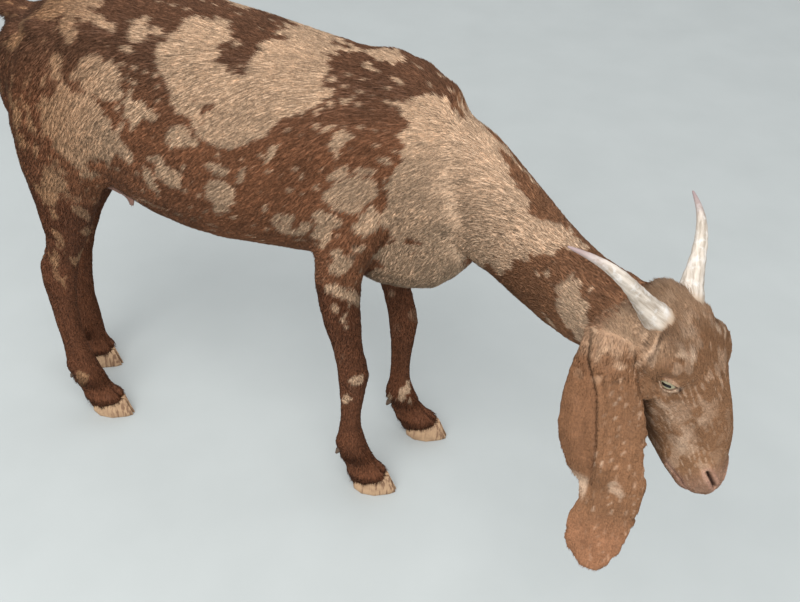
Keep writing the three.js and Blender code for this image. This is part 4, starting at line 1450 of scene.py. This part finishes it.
def unwrap(points):
    """Each point's place on a flat unwrap: its place along the piece, and its turn round it."""
    middle = points.mean(0)
    _, _, axes = np.linalg.svd((points - middle)[:: max(1, len(points) // 4000)], full_matrices=False)
    off = (points - middle) @ axes.T
    around = np.arctan2(off[:, 2], off[:, 1])
    uv = np.stack([off[:, 0], around], 1)
    low, high = uv.min(0), uv.max(0)
    return 0.01 + 0.98 * (uv - low) / (high - low)


def tufts_at(places, normals, ways, lengths, lifts, widths, tints):
    """Corner places and tints of one tuft at each place."""
    across = np.cross(normals, ways)
    half = (widths / 2)[:, None]
    base = places - normals * SUNK
    left = base - across * half
    right = base + across * half
    back = places - ways * half * 2 + normals * half * 0.5
    tip = places + ways * lengths[:, None] + normals * lifts[:, None]
    return np.stack([left, right, back, tip], 1).reshape(-1, 3), np.repeat(tints, 4, axis=0)


def coat_groups(places, owners):
    """Which coat piece each tuft belongs to: (name, slot, mask) for each piece."""
    trunk_low, trunk_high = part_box("trunk")
    right = places[:, 1] < (trunk_low.y + trunk_high.y) / 2
    thirds = np.linspace(trunk_low.x, trunk_high.x, 4)
    # Hair beyond the ends of the trunk's box goes with its first and last thirds
    third = np.clip(np.searchsorted(thirds, places[:, 0], side="right") - 1, 0, 2)
    groups = []
    for side, on_side in (("right", right), ("left", ~right)):
        on_trunk = lies_on(owners, "trunk") & on_side
        for number, name in enumerate(("rear", "middle", "front")):
            groups.append((f"coat_{name}_{side}", "coat", on_trunk & (third == number)))
    sideways = in_head(places)[:, 1]
    for side, sign in SIDES.items():
        for node, name, slot in (("neck", "neck", "coat"), ("head", "face", "face_coat")):
            groups.append((f"coat_{name}_{side}", slot, lies_on(owners, node) & (sideways * sign >= 0)))
    for node in LEGS + EARS + ["tail", "udder"]:
        slot = {"ear": "ear", "udder": "bare_skin"}.get(kind(node), "coat")
        groups.append((f"coat_{node}", slot, lies_on(owners, node)))
    return groups


def locks(places, owners, rng):
    """Which lock each tuft lies in, and each lock's turn, shade and lift."""
    gaps = by_kind(LOCK_GAP, owners) * MM
    crowd = by_kind(CROWD, owners) * PER_SQUARE_METRE
    chosen = np.flatnonzero(rng.random(len(places)) < 1 / (gaps ** 2 * crowd))
    tree = KDTree(len(chosen))
    for k, i in enumerate(chosen):
        tree.insert(places[i], k)
    tree.balance()
    lock = np.array([tree.find(place)[1] for place in places])
    count = len(chosen)
    return lock, rng.normal(0, 0.05, count), np.exp(rng.normal(0, 0.15, count)), rng.uniform(0.7, 1.25, count)


def grow_coat(skin, owners, flat):
    """Tufts all over the skin, strayed a little each and by locks, in one piece for each part of the body."""
    rng = np.random.default_rng(COAT_SEED)
    places, smooth_places, normals, roots = tuft_roots(skin, owners, flat, rng)
    ways, lengths, lifts = lie_of(smooth_places, normals, roots)
    count = len(places)
    lock, lock_stray, lock_shade, lock_lift = locks(places, roots, rng)
    stray = rng.normal(0, 0.06, count) + 0.06 * waves(places, 30 * MM, 51) + 0.10 * waves(places, 60 * MM, 52)
    stray += lock_stray[lock]
    ways = unit(ways + np.cross(normals, ways) * stray[:, None])
    lengths = lengths * rng.uniform(0.7, 1.2, count)
    lifts = lifts * rng.uniform(0.6, 1.1, count) * lock_lift[lock]
    widths = by_kind(TUFT_WIDTH, roots) * MM * rng.uniform(0.7, 1.25, count)
    calm = np.where(lies_on(roots, "head", *EARS), CALM_SHADE, 1.0)
    shade = (np.exp(rng.normal(0, 0.15, count)) * lock_shade[lock]) ** calm
    tints = paint(smooth_places + ways * (0.5 * lengths)[:, None], roots) * shade[:, None]
    columns = (places, normals, ways, lengths, lifts, widths, tints)
    for name, slot, mask in coat_groups(places, roots):
        tufts = tufts_at(*(column[mask] for column in columns))
        uv = unwrap(places[mask])[:, None] + TUFT_UV
        coat_piece(name, tufts, uv.reshape(-1, 2))


# ---------------------------------------------------------------- materials
def new_material(name, **plain):
    """A material with a Principled shader whose unlinked sockets get the given values."""
    material = bpy.data.materials.new(name)
    material.use_nodes = True
    shader = material.node_tree.nodes["Principled BSDF"]
    for socket, value in plain.items():
        shader.inputs[socket.replace("_", " ")].default_value = value
    return material, material.node_tree, shader


def attribute(tree, name):
    node = tree.nodes.new("ShaderNodeAttribute")
    node.attribute_name = name
    return node


def object_place(tree, scale):
    place = tree.nodes.new("ShaderNodeTexCoord")
    mapping = tree.nodes.new("ShaderNodeMapping")
    mapping.inputs["Scale"].default_value = scale
    tree.links.new(place.outputs["Object"], mapping.inputs["Vector"])
    return mapping.outputs["Vector"]


def noise(tree, vector, scale, detail=3, roughness=0.5):
    node = tree.nodes.new("ShaderNodeTexNoise")
    feed_named(tree, node, Vector=vector, Scale=scale, Detail=detail, Roughness=roughness)
    return node.outputs["Fac"]


def feed(tree, socket, value):
    """Sets a socket to a number or a colour, or links another node's output to it."""
    if isinstance(value, (int, float)):
        socket.default_value = value
    elif isinstance(value, np.ndarray):
        socket.default_value = (*value, 1)
    else:
        tree.links.new(value, socket)


def feed_named(tree, node, **values):
    """Feeds the sockets of these names, where _ stands for a space."""
    for label, value in values.items():
        feed(tree, node.inputs[label.replace("_", " ")], value)


def math_node(tree, operation, *values):
    node = tree.nodes.new("ShaderNodeMath")
    node.operation = operation
    for socket, value in zip(node.inputs, values):
        feed(tree, socket, value)
    return node.outputs[0]


def length(tree, first, second):
    """The length of the long side over two short sides at a right angle."""
    squares = [math_node(tree, "POWER", side, 2.0) for side in (first, second)]
    return math_node(tree, "SQRT", math_node(tree, "ADD", *squares))


def remap(tree, value, low, high, to_low=0.0, to_high=1.0):
    node = tree.nodes.new("ShaderNodeMapRange")
    node.interpolation_type = "SMOOTHSTEP"
    feed_named(tree, node, Value=value, From_Min=low, From_Max=high, To_Min=to_low, To_Max=to_high)
    return node.outputs["Result"]


# The numbers of a Mix node's factor, A and B inputs and of its output, for each type of data
MIX_SOCKETS = {"FLOAT": ((0, 2, 3), 0), "RGBA": ((0, 6, 7), 2)}


def mix(tree, data_type, *values, blend_type="MIX"):
    """Mixes A and B by a factor: the values are the factor, A and B."""
    node = tree.nodes.new("ShaderNodeMix")
    node.data_type = data_type
    node.blend_type = blend_type
    inputs, output = MIX_SOCKETS[data_type]
    for number, value in zip(inputs, values):
        feed(tree, node.inputs[number], value)
    return node.outputs[output]


def mix_colour(tree, factor, first, second):
    return mix(tree, "RGBA", factor, first, second)


def bump(tree, height, strength, distance):
    node = tree.nodes.new("ShaderNodeBump")
    feed_named(tree, node, Height=height, Strength=strength, Distance=distance)
    return node.outputs["Normal"]


def new_group(name, inputs, outputs):
    """A shader node group with named sockets, and its input and output nodes."""
    tree = bpy.data.node_groups.new(name, "ShaderNodeTree")
    for label, sort, default in inputs:
        socket = tree.interface.new_socket(label, in_out="INPUT", socket_type=sort)
        socket.default_value = default
    for label, sort in outputs:
        tree.interface.new_socket(label, in_out="OUTPUT", socket_type=sort)
    return tree, tree.nodes.new("NodeGroupInput"), tree.nodes.new("NodeGroupOutput")


# How bright a hair's tip is, and how much less its root is shaded where the hair is pale
TIP_SHADE = 1.12
PALE_ROOTS = 0.45


def hair_tone_and_shade_group():
    """Hair colour with painted shade: darker at the root where the hairs shade each other, lighter at the
    tip, with fine specks of worn pale hair.
    """
    tree, inside, out = new_group(
        "hair tone and root shade",
        [("Tone", "NodeSocketColor", (0.2, 0.1, 0.05, 1)), ("Tip", "NodeSocketFloat", 0.5),
         ("Root Shade", "NodeSocketFloat", 0.5)],
        [("Colour", "NodeSocketColor"), ("Rough", "NodeSocketFloat")])
    specks = noise(tree, object_place(tree, (1, 1, 1)), 420, 2, 0.6)
    parts = tree.nodes.new("ShaderNodeSeparateColor")
    feed(tree, parts.inputs[0], inside.outputs["Tone"])
    paler = math_node(tree, "MULTIPLY", parts.outputs[1], PALE_ROOTS)
    root = math_node(tree, "ADD", inside.outputs["Root Shade"], paler)
    rooted = mix(tree, "FLOAT", inside.outputs["Tip"], root, TIP_SHADE)
    total = math_node(tree, "MULTIPLY", remap(tree, specks, 0.3, 0.7, 0.82, 1.18), rooted)
    grey = tree.nodes.new("ShaderNodeCombineColor")
    for socket in grey.inputs[:3]:
        feed(tree, socket, total)
    colour = mix(tree, "RGBA", 1.0, inside.outputs["Tone"], grey.outputs[0], blend_type="MULTIPLY")
    feed_named(tree, out, Colour=colour, Rough=remap(tree, specks, 0.2, 0.8, 0.5, 0.7))
    return tree


def use_group(tree, group, **values):
    node = tree.nodes.new("ShaderNodeGroup")
    node.node_tree = group
    feed_named(tree, node, **values)
    return node


def coat_material(group):
    material, tree, shader = new_material("coat", Specular_IOR_Level=0.16)
    # Root Shade is painted shade at the roots of the hair
    tone = use_group(tree, group, Tone=attribute(tree, "tone").outputs["Color"],
                     Tip=attribute(tree, "tip").outputs["Fac"], Root_Shade=0.55)
    feed_named(tree, shader, Base_Color=tone.outputs["Colour"], Roughness=tone.outputs["Rough"])
    return material


def skin_material(group):
    material, tree, shader = new_material("skin", Specular_IOR_Level=0.15)
    # The skin between the hairs is darkened by the same painted root shade
    tone = use_group(tree, group, Tone=attribute(tree, "tone").outputs["Color"], Tip=0.35, Root_Shade=0.6)
    grain = noise(tree, object_place(tree, (1, 1, 0.5)), 700, 3, 0.6)
    feed_named(tree, shader, Base_Color=tone.outputs["Colour"], Roughness=tone.outputs["Rough"],
               Normal=bump(tree, grain, 0.5, 0.0006))
    return material


def horn_material():
    """Pale grey horn with long worn streaks, chalky patches and a purplish tip."""
    material, tree, shader = new_material("horn", Specular_IOR_Level=0.35)
    along = attribute(tree, "along").outputs["Fac"]
    streaks = noise(tree, attribute(tree, "lengthwise").outputs["Vector"], 150, 4, 0.65)
    chalk = noise(tree, object_place(tree, (1, 1, 1)), 70, 4, 0.65)
    colour = mix_colour(tree, remap(tree, streaks, 0.34, 0.66), HORN_DARK, HORN_PALE)
    colour = mix_colour(tree, remap(tree, chalk, 0.50, 0.70, 0, 0.6), colour, HORN_CHALK)
    colour = mix_colour(tree, remap(tree, along, 0.62, 0.98), colour, HORN_TIP)
    colour = mix_colour(tree, remap(tree, along, 0.04, -0.06), colour, HORN_ROOT)
    feed_named(tree, shader, Base_Color=colour, Roughness=remap(tree, chalk, 0.3, 0.7, 0.5, 0.75),
               Normal=bump(tree, math_node(tree, "ADD", streaks, chalk), 0.5, 0.0008))
    return material


def claw_material(name, light, dark):
    """Horn of the claws: faint upright lines, darker and closer towards the toe."""
    material, tree, shader = new_material(name, Specular_IOR_Level=0.2)
    streaks = noise(tree, object_place(tree, (1, 1, 0.06)), 260, 4, 0.6)
    toe = attribute(tree, "toe").outputs["Fac"]
    lined = math_node(tree, "ADD", streaks, remap(tree, toe, 0.45, 1.0, 0, 0.12))
    colour = mix_colour(tree, remap(tree, lined, 0.55, 0.70, 0, 0.8), light, dark)
    cloud = noise(tree, object_place(tree, (1, 1, 1)), 60, 3, 0.6)
    colour = mix_colour(tree, remap(tree, cloud, 0.4, 0.7, 0, 0.35), colour, dark)
    grain = noise(tree, object_place(tree, (1, 1, 3)), 300, 3, 0.6)
    feed_named(tree, shader, Base_Color=colour, Roughness=remap(tree, grain, 0.3, 0.7, 0.5, 0.75),
               Normal=bump(tree, grain, 0.3, 0.0005))
    return material


# On the eye, in shares of the ball's width: half the pupil's length without its round ends, how far it
# lies under the middle, and the reaches over which the pupil and the iris end
PUPIL_HALF = 0.15
PUPIL_SAG = 0.035
PUPIL_EDGE = (0.055, 0.08)
IRIS_EDGE = (0.30, 0.40)


def eye_material():
    """Iris with fine spokes round a long level pupil, and a dark rim to the ball."""
    gloss = {"Specular_IOR_Level": 0.22, "Coat_Weight": 0.22, "Coat_Roughness": 0.03}
    material, tree, shader = new_material("eye", **gloss)
    uv = tree.nodes.new("ShaderNodeUVMap")
    uv.uv_map = "EyeMap"
    parts = tree.nodes.new("ShaderNodeSeparateXYZ")
    feed(tree, parts.inputs[0], uv.outputs["UV"])
    along, across = (math_node(tree, "SUBTRACT", part, 0.5) for part in parts.outputs[:2])
    spokes = noise(tree, uv.outputs["UV"], 26, 4, 0.7)
    iris = mix_colour(tree, remap(tree, spokes, 0.35, 0.65), IRIS_DARK, IRIS_PALE)
    iris = mix_colour(tree, remap(tree, length(tree, along, across), *IRIS_EDGE), iris, EYE_RIM)
    past_half = math_node(tree, "SUBTRACT", math_node(tree, "ABSOLUTE", along), PUPIL_HALF)
    beyond = math_node(tree, "MAXIMUM", past_half, 0.0)
    reach = length(tree, beyond, math_node(tree, "ADD", across, PUPIL_SAG))
    colour = mix_colour(tree, remap(tree, reach, *PUPIL_EDGE), PUPIL_BLACK, iris)
    feed_named(tree, shader, Base_Color=colour, Roughness=remap(tree, spokes, 0.3, 0.7, 0.15, 0.25))
    return material


def floor_material():
    material, tree, shader = new_material("floor", Specular_IOR_Level=0.2, Roughness=0.8)
    cloud = noise(tree, object_place(tree, (1, 1, 1)), 6, 3, 0.5)
    feed_named(tree, shader, Base_Color=mix_colour(tree, cloud, FLOOR_DARK, FLOOR_PALE))
    return material


HAIR_TONE_AND_SHADE = hair_tone_and_shade_group()
MATERIALS = {
    "coat": coat_material(HAIR_TONE_AND_SHADE),
    "skin": skin_material(HAIR_TONE_AND_SHADE),
    "horn": horn_material(),
    "claw": claw_material("claw", CLAW_PALE, CLAW_DARK),
    "dewclaw": claw_material("dewclaw", DEWCLAW_PALE, DEWCLAW_DARK),
    "eye": eye_material(),
    "floor": floor_material(),
}


def set_material(obj, name):
    obj.data.materials.clear()
    obj.data.materials.append(MATERIALS[name])


def paint_skin(skin, owners, flat):
    add_tones(skin.data, paint(flat, owners))
    set_material(skin, "skin")


# ---------------------------------------------------------------- eyes, horns, claws
def build_eye(side):
    """An eyeball with a bulging cornea, and a map that runs along and across the eye's slit."""
    centre = from_head([(0, SIDES[side] * EYE_OUT, 0)])[0]
    bpy.ops.object.select_all(action="DESELECT")
    bpy.ops.mesh.primitive_uv_sphere_add(segments=64, ring_count=48, radius=EYE_RADIUS * MM, location=centre)
    ball = bpy.context.object
    bpy.ops.object.transform_apply(location=True)
    ball.name = f"eyeball_{side}"
    places = read(ball.data, "co")
    along, across, off = eye_coordinates(in_head(places), SIDES[side])
    outward = np.clip(off[:, 1] * SIDES[side] / EYE_RADIUS, 0, 1)
    bulge = CORNEA_RISE * smooth_step(CORNEA_EDGE, 1.0, outward)
    write_places(ball.data, places + unit(places - centre) * bulge[:, None])
    uv = 0.5 + 0.5 * np.stack([along, across], 1) / EYE_RADIUS
    write(ball.data.uv_layers.new(name="EyeMap").data, "uv", uv[corner_vertices(ball.data)])
    active_only(ball)
    bpy.ops.object.shade_smooth()
    set_material(ball, "eye")
    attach(ball, "root")
    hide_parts(f"eye_{side}")


def build_horn(side):
    """A horn with faint rings, and attributes for its grain: how far along it is, and its place drawn out."""
    horn = merged_copy(f"horn_{side}", f"horn_shell_{side}")
    apply_modifier(horn, "round", "SUBSURF", levels=2, render_levels=2)
    places = read(horn.data, "co")
    root = horn_root(side)
    chord = places[np.argmax(np.linalg.norm(places - root, axis=1))] - root
    along = (places - root) @ chord / (chord @ chord)
    rings = np.sin(along * RING_TURNS + 1.5 * waves(places, 30 * MM, 71)) * smooth_step(1.0, 0.3, along)
    write_places(horn.data, places + read(horn.data, "normal") * (RING_RISE * rings)[:, None])
    add_numbers(horn.data, "along", along)
    lengthwise = np.outer(along, chord)
    drawn_out = places - root - lengthwise * (1 - GRAIN_STRETCH)
    write(horn.data.attributes.new("lengthwise", "FLOAT_VECTOR", "POINT").data, "vector", drawn_out)
    bpy.ops.object.shade_smooth()
    set_material(horn, "horn")
    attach(horn, "root")
    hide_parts(f"horn_{side}")


def foot_of(node):
    return FEET[next(leg for leg in LEGS if leg in node)]


def shape_toe(claw, node):
    """Narrows a claw towards its toe and parts it from its neighbour there, and marks how near the toe is."""
    centre, _, forward, left = foot_of(node)
    places = read(claw.data, "co")
    ahead, sideways = (places - centre) @ forward, (places - centre) @ left
    along = (ahead - ahead.min()) / (ahead.max() - ahead.min())
    pointed = np.clip((along - TOE_START) / (1 - TOE_START), 0, 1) ** 1.6
    splay = TOE_SPLAY * np.sign(sideways.mean()) * pointed
    write_places(claw.data, places + np.outer(splay - sideways * TOE_NARROWING * pointed, left))
    return along


def shrink_dewclaw(claw, node):
    """Draws a dewclaw in towards the leg, so that the tuft over it half hides it."""
    forward = foot_of(node)[2]
    places = read(claw.data, "co")
    top = places[np.argmax(places[:, 2] + places @ forward)]
    write_places(claw.data, top + (places - top) * DEWCLAW_SHARE)
    return np.zeros(len(places))


def build_claw(node):
    slot = node.split("_")[0]
    claw = merged_copy(node, f"{node}_shell")
    apply_modifier(claw, "edges", "BEVEL", width=CLAW_BEVEL, segments=2, limit_method="ANGLE")
    bpy.ops.object.shade_smooth_by_angle(angle=math.radians(50))
    add_numbers(claw.data, "toe", shape_toe(claw, node) if slot == "claw" else shrink_dewclaw(claw, node))
    set_material(claw, slot)
    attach(claw, "root")
    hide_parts(node)


# ---------------------------------------------------------------- stage
def build_stage():
    bpy.ops.object.select_all(action="DESELECT")
    bpy.ops.mesh.primitive_plane_add(size=FLOOR_SIZE, location=(0, 0, 0))
    floor = bpy.context.object
    floor.name = "floor"
    set_material(floor, "floor")


def build_light():
    world = bpy.data.worlds.new("soft light")
    world.use_nodes = True
    background = world.node_tree.nodes["Background"]
    background.inputs["Color"].default_value = SKY_COLOUR
    background.inputs["Strength"].default_value = SKY_STRENGTH
    bpy.context.scene.world = world
    lamp = bpy.data.lights.new("soft box", "AREA")
    lamp.shape = "RECTANGLE"
    lamp.size, lamp.size_y = LAMP_SIZE
    lamp.energy = LAMP_WATTS
    lamp.color = LAMP_COLOUR
    box = link("soft box", lamp)
    box.location = LAMP_AT
    box.rotation_euler = (LAMP_AIM - LAMP_AT).to_track_quat("-Z", "Y").to_euler()


def build_camera():
    data = bpy.data.cameras.new("camera")
    data.sensor_width = SENSOR
    data.lens = CAMERA_LENS
    camera = link("camera", data)
    turn = Matrix.Rotation(math.radians(CAMERA_TURN), 4, "Z")
    tilt = Matrix.Rotation(math.radians(90 - CAMERA_DOWN), 4, "X")
    roll = Matrix.Rotation(math.radians(CAMERA_ROLL), 4, "Z")
    camera.matrix_world = Matrix.Translation(CAMERA_AT) @ turn @ tilt @ roll
    bpy.context.scene.camera = camera


skin, skin_owners, skin_flat = build_skin()
paint_skin(skin, skin_owners, skin_flat)
grow_coat(skin, skin_owners, skin_flat)
for side_name in SIDES:
    build_eye(side_name)
    build_horn(side_name)
for claw_node in CLAWS + DEWCLAWS:
    build_claw(claw_node)
build_stage()
build_light()
build_camera()
bpy.context.scene.view_settings.view_transform = "Standard"
